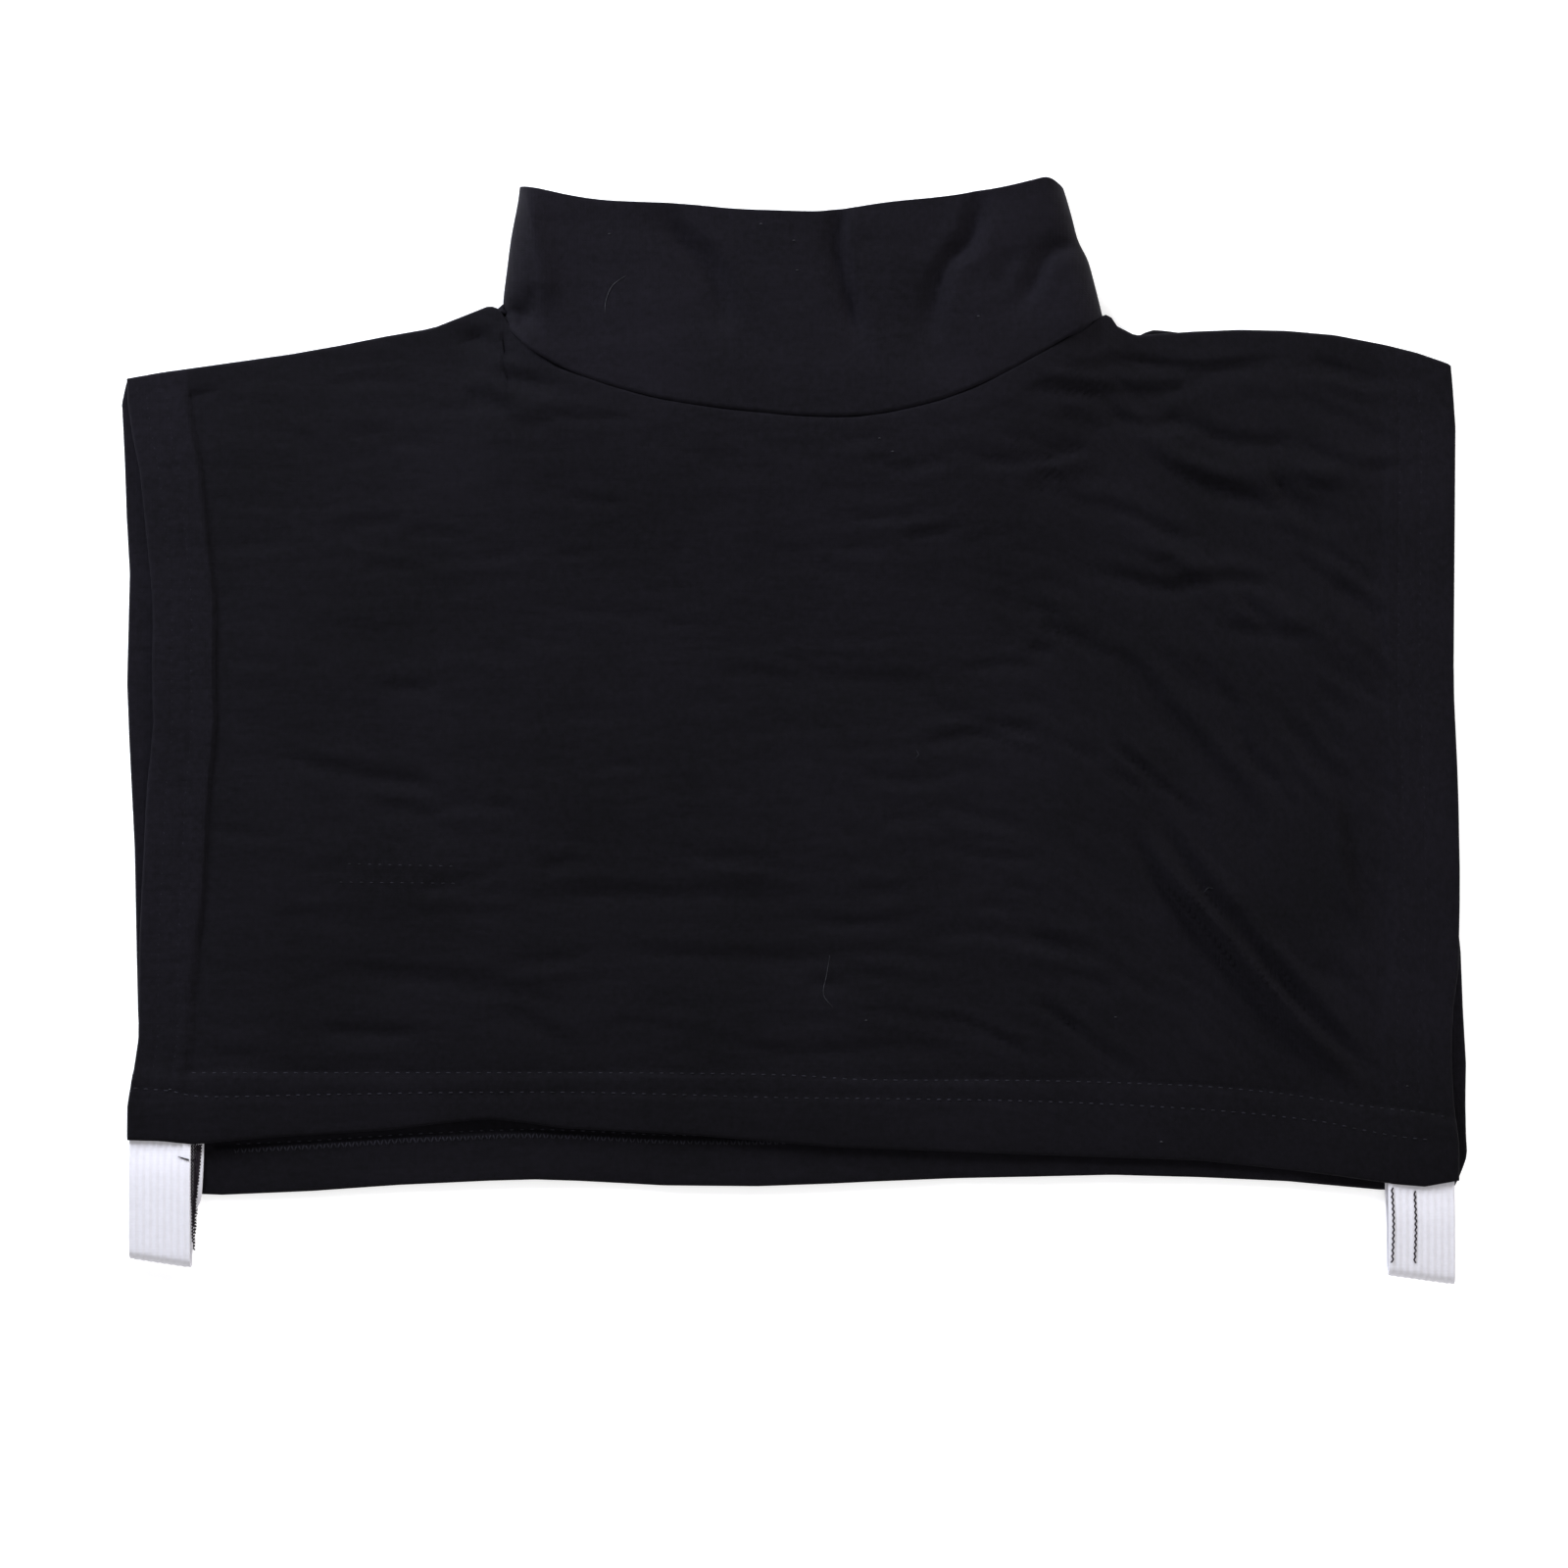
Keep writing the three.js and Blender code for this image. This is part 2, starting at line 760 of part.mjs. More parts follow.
// An elastic strap: a band folded over at the bottom, its back end a little to one side.
function strapBand(strap) {
  const across = evenly(0, 1, STRAP_ACROSS);
  const paths = across.map((w) =>
    strapPath(strap, lerp(strap.foldLeft, strap.foldRight, w)),
  );
  const outer = paths[0].map((_, k) =>
    across.map((w, i) => {
      const { y, z, shifted } = paths[i][k];
      const x = lerp(strap.left, strap.right, w) + strap.backShift * shifted;
      return new THREE.Vector3(x, y, z);
    }),
  );
  return shell(thickened(outer.reverse(), ELASTIC));
}

const jersey = new THREE.MeshStandardMaterial({ color: 0x1b1a1e, roughness: 0.95 });
const elastic = new THREE.MeshStandardMaterial({ color: 0xe9e8ee, roughness: 0.8 });

function piece(name, geometry, material) {
  const mesh = new THREE.Mesh(geometry, material);
  mesh.name = name;
  return mesh;
}

// Puts the origin on the table under the middle of the outline.
function centre(group) {
  const box = new THREE.Box3().setFromObject(group);
  const middle = box.getCenter(new THREE.Vector3());
  group.position.set(-middle.x, -middle.y, -box.min.z);
}

const root = new THREE.Group();
root.add(
  piece("front_panel", frontPanel(), jersey),
  piece("back_panel", backPanel(), jersey),
  piece("collar", collar(), jersey),
  piece("strap_left", strapBand(strapLeft), elastic),
  piece("strap_right", strapBand(strapRight), elastic),
);
centre(root);
export default root;
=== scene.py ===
# %% [markdown]
# # A detachable collar, laid flat
#
# This is a false polo neck: a front and a back bib of thin black jersey, a tall collar of the same
# cloth taken double, and a loop of white elastic at each lower corner. It lies flat on its back and is
# seen from straight above. The solids of the part are loaded first and never change. Each of them is
# soft, so each gets a finer piece that stands for it.

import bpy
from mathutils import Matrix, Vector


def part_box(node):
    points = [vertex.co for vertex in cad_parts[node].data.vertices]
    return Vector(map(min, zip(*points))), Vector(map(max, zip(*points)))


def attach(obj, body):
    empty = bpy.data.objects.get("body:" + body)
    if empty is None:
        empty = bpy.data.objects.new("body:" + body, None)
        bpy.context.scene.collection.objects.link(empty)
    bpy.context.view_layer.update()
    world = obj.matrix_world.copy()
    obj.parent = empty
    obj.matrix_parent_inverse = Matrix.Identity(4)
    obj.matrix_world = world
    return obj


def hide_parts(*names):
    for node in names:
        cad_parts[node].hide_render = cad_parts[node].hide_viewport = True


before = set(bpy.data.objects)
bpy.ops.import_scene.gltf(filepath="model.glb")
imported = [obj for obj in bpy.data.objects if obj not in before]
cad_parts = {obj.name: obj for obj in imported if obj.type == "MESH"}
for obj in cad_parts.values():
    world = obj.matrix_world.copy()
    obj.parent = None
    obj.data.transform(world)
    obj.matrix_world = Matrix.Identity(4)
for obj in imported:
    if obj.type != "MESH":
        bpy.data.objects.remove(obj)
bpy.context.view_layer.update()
print("solids:", sorted(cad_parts))

# %% [markdown]
# ## Sizes
#
# Everything is in metres, so a millimetre gets a name. The cloth's thickness and its hems are the same
# as in the solids. A hem is cloth turned under and held by two rows of stitches, so it is twice as thick.

# %% Sizes of the cloth and its sewing
import math
from functools import partial

import bpy
import numpy as np
from mathutils import Vector
from mathutils.bvhtree import BVHTree

MM = 0.001
PLY = 1.0 * MM
TURNED = 2 * PLY
LYING_GAP = 0.3 * MM
HEM = 21 * MM
SEAM = 8 * MM
HEM_STEP = 1 * MM
print("one layer of jersey:", PLY, "m; a hem:", HEM, "m")

# %% [markdown]
# ## The camera
#
# The garment was seen from straight above. A long lens from further away keeps the tall collar from
# growing towards the camera, so the outline stays true. The camera looks down its own -Z, so it needs
# no turning at all. It is aimed a little below the middle, which leaves the garment where it was.

# %% Place the camera
VIEW_WIDTH = 477.6 * MM
LENS = 135
SENSOR = 36
AIM = (-3 * MM, -15.9 * MM)
CLOTH_LEVEL = 6 * MM

camera_data = bpy.data.cameras.new("camera")
camera_data.lens = LENS
camera_data.sensor_width = SENSOR
camera = bpy.data.objects.new("camera", camera_data)
bpy.context.collection.objects.link(camera)
camera.location = (*AIM, CLOTH_LEVEL + VIEW_WIDTH * LENS / SENSOR)
bpy.context.scene.camera = camera
print("camera height:", round(camera.location.z, 3), "m")

# %% [markdown]
# ## Working on copies of the solids
#
# A loaded solid is a loose set of triangles that must stay as it is. A copy can be merged, turned back
# into quads and subdivided, which gives a smooth form to lay the fine cloth on. Every operator works on
# what is selected, so small helpers first select one object, or some of its edges or faces, and nothing
# else.

# %% Copy and smooth a solid
SAME_PLACE = 0.01 * MM
HIGH_ABOVE = 1.0


def link(obj):
    """Put a new object into the scene."""
    bpy.context.collection.objects.link(obj)
    return obj


def pick(obj):
    """Make one object the only one selected, and the active one."""
    bpy.ops.object.select_all(action="DESELECT")
    obj.select_set(True)
    bpy.context.view_layer.objects.active = obj


def open_whole(obj):
    """Open edit mode on an object with all of it selected."""
    pick(obj)
    bpy.ops.object.mode_set(mode="EDIT")
    bpy.ops.mesh.select_all(action="SELECT")


def close_edit():
    bpy.ops.object.mode_set(mode="OBJECT")


def open_parts(obj, kind, numbers):
    """Open edit mode on an object with only some of its edges or faces selected."""
    pick(obj)
    bpy.ops.object.mode_set(mode="EDIT")
    bpy.ops.mesh.select_mode(type=kind)
    bpy.ops.mesh.select_all(action="DESELECT")
    close_edit()
    parts = obj.data.polygons if kind == "FACE" else obj.data.edges
    for number in numbers:
        parts[number].select = True
    bpy.ops.object.mode_set(mode="EDIT")


def vertices_of(obj):
    """An object's points as rows of x, y and z."""
    places = np.empty(3 * len(obj.data.vertices))
    obj.data.vertices.foreach_get("co", places)
    return places.reshape(-1, 3)


def move_vertices(obj, places):
    """Put an object's points at new places."""
    obj.data.vertices.foreach_set("co", places.ravel())
    obj.data.update()


def edge_ends(obj):
    """The two end points of each of an object's edges."""
    return vertices_of(obj)[np.array([edge.vertices[:] for edge in obj.data.edges])]


def edges_across(obj, length):
    """Numbers of the edges that reach further than a length along X."""
    ends = edge_ends(obj)
    return np.nonzero(np.abs(ends[:, 1, 0] - ends[:, 0, 0]) > length)[0].tolist()


def apply_modifier(obj, kind, **settings):
    """Add a modifier with the given settings and apply it at once."""
    pick(obj)
    modifier = obj.modifiers.new(kind, kind)
    for setting, value in settings.items():
        setattr(modifier, setting, value)
    bpy.ops.object.modifier_apply(modifier=modifier.name)


def copy_solid(node, name):
    """A copy of a solid whose triangles are merged into quads."""
    copy = link(bpy.data.objects.new(name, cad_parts[node].data.copy()))
    copy.data.materials.clear()
    open_whole(copy)
    bpy.ops.mesh.remove_doubles(threshold=SAME_PLACE)
    bpy.ops.mesh.tris_convert_to_quads(
        face_threshold=math.pi, shape_threshold=math.pi, topology_influence=2.0
    )
    close_edit()
    print(name, "starts with", len(copy.data.polygons), "faces")
    return copy


def drop_tree(obj):
    """A search tree that finds where something dropped on an object lands."""
    return BVHTree.FromObject(obj, bpy.context.evaluated_depsgraph_get())


def landing(tree, x, y, start=HIGH_ABOVE):
    """Height at which a point dropped from a start height lands."""
    hit = tree.ray_cast(Vector((x, y, start)), Vector((0, 0, -1)))[0]
    if hit is None:
        hit = tree.find_nearest(Vector((x, y, 0)))[0]
    return hit.z


# %% [markdown]
# ## The outline of a bib
#
# A bib's solid stands upright only along its rim, so the upright edges give the outline. It is split at
# the four corners, where the sum or difference of x and y is largest. A fine grid is then stretched
# between the four sides, which keeps the grid's lines parallel to the hems.

# %% Read the outline and stretch a grid over it
SHORTEST_UPRIGHT = 0.1 * MM


def rim_of(node):
    """The points of a panel's outline, in no order."""
    ends = edge_ends(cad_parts[node])
    leg = ends[:, 1] - ends[:, 0]
    upright = (np.hypot(leg[:, 0], leg[:, 1]) < SAME_PLACE) & (np.abs(leg[:, 2]) > SHORTEST_UPRIGHT)
    return np.unique(np.round(ends[upright, 0, :2], 6), axis=0)


def sides_of(node):
    """The four sides of a panel. Left and right run upwards, bottom and top to the right."""
    rim = rim_of(node)
    turn = np.arctan2(rim[:, 1], rim[:, 0])

    def corner(x_way, y_way):
        return np.argmax(rim @ (x_way, y_way))

    def side(start, end, axis):
        span = (turn[end] - turn[start]) % math.tau
        chosen = rim[(turn - turn[start]) % math.tau <= span]
        return chosen[np.argsort(chosen[:, axis])]

    low_left, low_right = corner(-1, -1), corner(1, -1)
    high_left, high_right = corner(-1, 1), corner(1, 1)
    return {
        "left": side(high_left, low_left, 1),
        "right": side(low_right, high_right, 1),
        "bottom": side(low_left, low_right, 0),
        "top": side(high_right, high_left, 0),
    }


def size_of(sides):
    """The width of a panel's top side and the height of its left side."""
    top, left = sides["top"], sides["left"]
    return top[-1, 0] - top[0, 0], left[-1, 1] - left[0, 1]


def along(side, axis, share):
    """The point of a side that lies at a share of its reach along an axis."""
    at = side[0, axis] + share * (side[-1, axis] - side[0, axis])
    other = np.interp(at, side[:, axis], side[:, 1 - axis])
    return np.stack([at, other] if axis == 0 else [other, at])


def stretch(sides, u, v):
    """Points between the four sides: u goes from left to right and v from bottom to top, both 0 to 1."""
    bottom, top = sides["bottom"], sides["top"]
    near, far = bottom[[0, -1]].T[:, :, None, None], top[[0, -1]].T[:, :, None, None]
    low = near[:, 0] * (1 - u) + near[:, 1] * u
    high = far[:, 0] * (1 - u) + far[:, 1] * u
    corners = low * (1 - v) + high * v
    upright = along(sides["left"], 1, v) * (1 - u) + along(sides["right"], 1, v) * u
    level = along(bottom, 0, u) * (1 - v) + along(top, 0, u) * v
    return upright + level - corners


def insets(sides, x, y):
    """How far points lie in from the left, right, bottom and top sides."""
    return {
        "left": x - np.interp(y, sides["left"][:, 1], sides["left"][:, 0]),
        "right": np.interp(y, sides["right"][:, 1], sides["right"][:, 0]) - x,
        "bottom": y - np.interp(x, sides["bottom"][:, 0], sides["bottom"][:, 1]),
        "top": np.interp(x, sides["top"][:, 0], sides["top"][:, 1]) - y,
    }


front_sides = sides_of("front_panel")
back_sides = sides_of("back_panel")
print("points round the front:", sum(len(side) for side in front_sides.values()))

# %% [markdown]
# ## Lines of the grid
#
# A line that the eye reads, such as a row of stitches or the end of a hem, needs grid lines of its own.
# Elsewhere they can be evenly spaced, as far apart as the finest wrinkle allows. Close lines at the very
# edge make the folded rim round.

# %% Spread the lines of a grid
RIM = 1.0 * MM
RIM_LINES = 5
BESIDE_MARK = 0.7 * MM
CLEAR_STEPS = 0.45


def spread(length, step, first_marks, last_marks):
    """Places of grid lines from 0 to a length, with extra ones at marks in from either end."""
    rounding = RIM * (1 - np.cos(np.linspace(0, math.pi / 2, RIM_LINES)))
    marks = [*rounding, *(length - rounding)]
    for mark in [*first_marks, *(length - mark for mark in last_marks)]:
        marks += [mark - BESIDE_MARK, mark, mark + BESIDE_MARK]
    even = np.linspace(RIM, length - RIM, round(length / step))
    clear = np.abs(even[:, None] - np.array(marks)[None]).min(1) > CLEAR_STEPS * step
    return np.unique(np.round([*marks, *even[clear]], 7)) / length


print("lines over 100 mm:", len(spread(100 * MM, 1.7 * MM, [10 * MM], [])))

# %% [markdown]
# ## Folds and wrinkles
#
# A fold is a valley or a ridge along a smooth path, which fades out at both ends. Jersey also keeps a
# raised lip on one side of a valley, where the cloth was pushed together. Finer wrinkles have no path of
# their own, so they come from smooth noise that is stretched the way that the cloth is pulled.

# %% Shape one fold and the noise
FOLD_REACH = 4  # in widths of the fold, as is the next one
LIP_OFFSET = 1.7
FOLD_ENDS = 0.3
LATTICE = 64


def smooth_step(value, start, end):
    """0 before the start, 1 after the end, and an even slope between them."""
    share = np.clip((value - start) / (end - start), 0, 1)
    return share * share * (3 - 2 * share)


def rounded_path(points, steps=7):
    """A finer path through a few points, round at each of them."""
    p = np.asarray(points, float)
    p = np.vstack([2 * p[0] - p[1], p, 2 * p[-1] - p[-2]])
    t = np.linspace(0, 1, steps, endpoint=False)[:, None]
    legs = [
        b + 0.5 * t * (c - a + t * (2 * a - 5 * b + 4 * c - d + t * (3 * (b - c) + d - a)))
        for a, b, c, d in zip(p, p[1:], p[2:], p[3:])
    ]
    return np.vstack([*legs, p[-2]])


def beside(x, y, path):
    """How far points lie from a path, positive on its left, and how far along it, from 0 to 1."""
    lengths = np.hypot(*np.diff(path, axis=0).T)
    starts = np.r_[0, np.cumsum(lengths)]
    nearest = np.full(x.shape, np.inf)
    away, share = np.zeros(x.shape), np.zeros(x.shape)
    for start, leg, length, before in zip(path, np.diff(path, axis=0), lengths, starts):
        t = np.clip(((x - start[0]) * leg[0] + (y - start[1]) * leg[1]) / length**2, 0, 1)
        off_x, off_y = x - start[0] - t * leg[0], y - start[1] - t * leg[1]
        distance = np.hypot(off_x, off_y)
        nearer = distance < nearest
        nearest = np.where(nearer, distance, nearest)
        left = np.sign(leg[0] * off_y - leg[1] * off_x)
        away = np.where(nearer, left * distance, away)
        share = np.where(nearer, (before + t * length) / starts[-1], share)
    return away, share


def folds_rise(x, y, folds):
    """Height that a table of folds adds. Each row is a rise, a width, a lip and the points of a path."""
    total = np.zeros(x.shape)
    for rise, width, lip, points in folds:
        path = rounded_path(points) * MM
        low, high = path.min(0) - FOLD_REACH * width * MM, path.max(0) + FOLD_REACH * width * MM
        near = (x > low[0]) & (x < high[0]) & (y > low[1]) & (y < high[1])
        away, share = beside(x[near], y[near], path)
        q = away / (width * MM)
        fade = smooth_step(share, 0, FOLD_ENDS) * smooth_step(1 - share, 0, FOLD_ENDS)
        beside_it = np.exp(-((q - LIP_OFFSET * np.sign(lip)) ** 2))
        total[near] += rise * MM * (np.exp(-np.abs(q) ** 1.5) - abs(lip) * beside_it) * fade
    return total


def bell(x, y, middle, size):
    """A round bump of height 1 at a place, that fades out over a size."""
    return np.exp(-np.hypot(x - middle[0], y - middle[1]) ** 2 / size**2)


def noise(x, y, wide, high, seed):
    """Smooth noise from -1 to 1 whose lumps are about as wide and high as given."""
    values = np.random.default_rng(seed).uniform(-1, 1, (LATTICE, LATTICE))
    u, v = x / wide, y / high
    i, j = np.floor(u).astype(int), np.floor(v).astype(int)
    s, t = smooth_step(u - i, 0, 1), smooth_step(v - j, 0, 1)

    def row(number):
        first, second = values[number % LATTICE, i % LATTICE], values[number % LATTICE, (i + 1) % LATTICE]
        return first * (1 - s) + second * s

    return row(j) * (1 - t) + row(j + 1) * t


print("rise of a test fold:", folds_rise(np.zeros(1), np.zeros(1), [(-1, 5, 0, [(-9, 0), (9, 0)])]))

# %% [markdown]
# ## Closing a sheet
#
# Cloth has two sides. The grid's upper side and lower side become one closed mesh, and they meet at the
# rim, where the thickness goes to nothing along a half circle. So the edge looks like a fold of cloth
# and not like cut card.

# %% Close a grid into a sheet
def new_piece(name, points, faces):
    """A smooth object made of points and faces."""
    mesh = bpy.data.meshes.new(name)
    mesh.from_pydata(np.vstack(points).tolist(), [], faces)
    mesh.shade_smooth()
    return link(bpy.data.objects.new(name, mesh))


def close_sheet(name, x, y, upper, lower):
    """One closed mesh from a grid's upper and lower heights. At its rim the two sides share points."""
    rows, columns = x.shape
    upper_index = np.arange(rows * columns).reshape(rows, columns)
    lower_index = upper_index.copy()
    inner = (rows - 2) * (columns - 2)
    lower_index[1:-1, 1:-1] = rows * columns + np.arange(inner).reshape(rows - 2, columns - 2)
    on_rim = lower_index == upper_index
    top = np.stack([x, y, np.where(on_rim, (upper + lower) / 2, upper)], -1).reshape(-1, 3)
    below = np.stack([x, y, lower], -1)[1:-1, 1:-1].reshape(-1, 3)

    def faces(index):
        quads = [index[:-1, :-1], index[:-1, 1:], index[1:, 1:], index[1:, :-1]]
        return np.stack(quads, -1).reshape(-1, 4)

    every_face = np.vstack([faces(upper_index), faces(lower_index)[:, ::-1]]).tolist()
    sheet = new_piece(name, [top, below], every_face)
    print(name, "has", 2 * len(every_face), "triangles")
    return sheet


def store(sheet, name, grid):
    """Keep a value for every point of a closed sheet, the same on both of its sides."""
    layer = sheet.data.attributes.new(name, "FLOAT", "POINT")
    layer.data.foreach_set("value", np.r_[grid.ravel(), grid[1:-1, 1:-1].ravel()])


def rim_share(inset):
    """The share of its thickness that a sheet has this far in from its rim."""
    nearest = np.clip(np.minimum.reduce(list(inset.values())), 0, None)
    return np.sqrt(1 - (1 - np.clip(nearest / RIM, 0, 1)) ** 2)


def rounded_rim(upper, lower, inset):
    """Upper and lower heights that meet in a half circle at the rim."""
    middle, half = (upper + lower) / 2, (upper - lower) / 2 * rim_share(inset)
    return middle + half, middle - half


# %% [markdown]
# ## The rest heights
#
# How high the cloth lies is already in the solid: up over the collar's seam, over the elastic loops and
# over the air between the bibs. A smooth copy of the solid is felt from above at every grid point, a
# little in from the rim. Repeated averaging then takes its facets away.

# %% Feel the height of a solid
FEEL_IN = 3 * MM


def average(heights, rounds):
    """Smooth a grid of heights by averaging each with its neighbours, up and down and then across."""
    for _ in range(2 * rounds):
        padded = np.pad(heights, [(1, 1), (0, 0)], mode="edge")
        heights = ((padded[:-2] + 2 * padded[1:-1] + padded[2:]) / 4).T
    return heights


def felt_heights(node, sides, u, v, rounds):
    """Heights of a solid's upper side at grid points, smoothed."""
    form = copy_solid(node, node + "_form")
    apply_modifier(form, "SUBSURF", levels=2, render_levels=2)
    tree = drop_tree(form)
    keep_in = FEEL_IN / size_of(sides)[0]
    x, y = stretch(sides, np.clip(u, keep_in, 1 - keep_in), np.clip(v, 2 * keep_in, 1 - 2 * keep_in))
    heights = [landing(tree, *place) for place in zip(x.ravel(), y.ravel())]
    bpy.data.objects.remove(form)
    return average(np.array(heights).reshape(x.shape), rounds)


# %% [markdown]
# ## The front bib
#
# The front bib is one layer of jersey on top of everything else. Its wrinkles tell how it was laid down:
# a set of long diagonal folds runs to the lower right corner, short ones fan out from the right end of
# the neck, and the left half is calm. Each fold is a row of the table, in millimetres on the garment.

# %% Folds of the front bib
FRONT_FOLDS = [
    # rise, width, lip, path
    (-3.8, 2.4, 0.5, [(101, -26), (111, -44), (128, -65), (147, -88), (172, -114)]),
    (3.1, 2.6, 0, [(105, -28), (117, -46), (139, -70), (159, -93), (178, -113)]),
    (-3.4, 2.3, 0.45, [(108, -18), (120, -40), (138, -62), (157, -84), (182, -110)]),
    (-2.7, 2.5, 0.4, [(90, 24), (101, 22), (114, 6), (127, -9), (137, -21), (146, -40)]),
    (-1.4, 2.5, 0.4, [(70, 26), (80, 23)]),
    (-1.8, 2.5, 0.4, [(121, 25), (134, 9), (139, 0)]),
    (-2.7, 2.5, -0.5, [(143, 12), (159, -8), (169, -22), (173, -46), (184, -74)]),
    (-2, 2.6, 0.5, [(96, 94), (107, 85), (126, 75), (138, 72), (152, 70)]),
    (-2, 2.3, -0.5, [(144, 84), (150, 73), (157, 66), (166, 54)]),
    (-1.1, 2.1, 0.4, [(149, 81), (159, 74), (168, 72)]),
    (-1.4, 2.6, 0.5, [(82, 53), (96, 48), (114, 44), (130, 46), (156, 44)]),
    (-1.4, 2.2, 0.5, [(82, 108), (100, 113), (124, 110), (153, 114)]),
    (-1.4, 2.2, 0.5, [(66, 104), (96, 103), (114, 104), (132, 110)]),
    (-1.1, 2.1, 0.4, [(78, 98), (86, 95), (97, 90)]),
    (-1.1, 2.2, 0.4, [(94, 96), (108, 94), (122, 95)]),
    (-1.1, 2.2, 0.4, [(121, 92), (138, 88), (156, 88)]),
    (-1.4, 2.3, 0.4, [(90, 71), (105, 65), (124, 56)]),
    (-1, 2.2, 0.4, [(70, 78), (82, 77), (94, 74)]),
    (-1, 2.2, 0.4, [(190, 58), (199, 68)]),
    (-1.1, 2.2, 0.4, [(163, 47), (173, 40), (182, 33)]),
    (-1.1, 2.5, 0.4, [(127, 32), (145, 30), (163, 28)]),
    (1.7, 4.4, 0, [(86, 100), (110, 84), (150, 78), (190, 84)]),
    (1.4, 5.1, 0, [(88, 84), (112, 56), (150, 36), (186, 20)]),
    (-0.7, 2.6, 0.4, [(-141, 62), (-130, 63), (-118, 63)]),
    (-0.7, 2.6, 0.4, [(-129, 13), (-118, 13), (-106, 13)]),
    (-0.9, 3, 0.5, [(-160, -6), (-141, -12), (-116, -16), (-104, -20)]),
    (-0.8, 2.6, 0.4, [(-132, -17), (-124, -23), (-116, -24), (-102, -33)]),
    (-1.1, 3.1, 0.5, [(-147, -71), (-129, -74), (-95, -77), (-68, -84)]),
    (-0.8, 2.6, 0.4, [(-95, -83), (-81, -88), (-65, -99)]),
    (-0.7, 2.6, 0.4, [(-146, -91), (-128, -91), (-111, -93)]),
    (-0.7, 2.6, 0.4, [(-184, -97), (-172, -99), (-159, -99)]),
    (-0.7, 2.5, 0.4, [(-78, -43), (-70, -40), (-63, -38)]),
    (-0.8, 3, 0.5, [(-93, -52), (-71, -50), (-37, -50), (12, -50)]),
    (-0.8, 3, 0.5, [(-60, -66), (-32, -69), (12, -69), (38, -66)]),
    (-0.7, 2.6, 0.4, [(-1, -80), (18, -75), (37, -75)]),
    (-0.8, 2.8, 0.4, [(-30, -96), (12, -98), (34, -96), (60, -100)]),
    (-0.7, 3, 0.4, [(-8, 22), (10, 17), (34, 15), (50, 15)]),
    (-1, 2.5, 0.4, [(35, -5), (59, 0), (78, 0)]),
    (-2.2, 2.5, 0.5, [(-104, 122), (-93, 119), (-82, 113)]),
    (-2, 2.5, 0.5, [(-94, 111), (-82, 107), (-64, 106)]),
    (-1.3, 2.6, 0.4, [(-102, 103), (-94, 101), (-84, 97)]),
    (-0.7, 2.5, 0.4, [(-87, 93), (-80, 93), (-73, 93)]),
]
print("folds on the front:", len(FRONT_FOLDS))

# %% [markdown]
# Between those folds the jersey is full of short wrinkles, far too many for a table. They run the way
# the cloth was pulled: level on the left, sloping at the right shoulder and steep at the lower right. A
# seeded generator places them, with more of them on the right, and writes rows like those of the table.

# %% Draw the short wrinkles
SHORT_WRINKLES = 240
# Where they lie, in millimetres, and the share of them that the left keeps
SPREAD_X = (-178, 178)
SPREAD_Y = (-108, 112)
LEFT_SHARE = 0.35
# In degrees: their slope on the left, and what is added at the lower right and the upper right
SLOPE = 3
LOW_RIGHT_SLOPE = 46
HIGH_RIGHT_SLOPE = 14
TURN = 0.14
BOW = 0.1
REACHES = (6, 24)
DEPTHS = (0.12, 0.52)
WIDTHS = (1.3, 2.3)
LIP = 0.6


def pull(x, y):
    """Direction of the wrinkles, in radians, at a place in millimetres."""
    low_right = smooth_step(x, 40, 130) * (1 - smooth_step(y, 20, 70))
    high_right = smooth_step(x, 50, 110) * smooth_step(y, 20, 70)
    return -math.radians(SLOPE + LOW_RIGHT_SLOPE * low_right + HIGH_RIGHT_SLOPE * high_right)


def short_wrinkles(count, seed):
    """Rows of short wrinkles, as in the table of folds."""
    rng = np.random.default_rng(seed)
    rows = []
    while len(rows) < count:
        x, y = rng.uniform(*SPREAD_X), rng.uniform(*SPREAD_Y)
        if rng.uniform() > LEFT_SHARE + (1 - LEFT_SHARE) * smooth_step(x, -60, 110):
            continue
        turn, reach = pull(x, y) + rng.normal(0, TURN), rng.uniform(*REACHES)
        way = np.array([math.cos(turn), math.sin(turn)])
        bow = rng.normal(0, BOW) * reach
        points = [-reach * way, (-bow * way[1], bow * way[0]), reach * way]
        deep = rng.uniform(*DEPTHS) * (1 + smooth_step(x, 0, 90))
        shape = (-deep, rng.uniform(*WIDTHS), LIP * rng.choice([-1, 1]))
        rows.append((*shape, np.array(points) + (x, y)))
    return rows


print("direction at the lower right:", round(math.degrees(pull(150, -80))), "degrees")
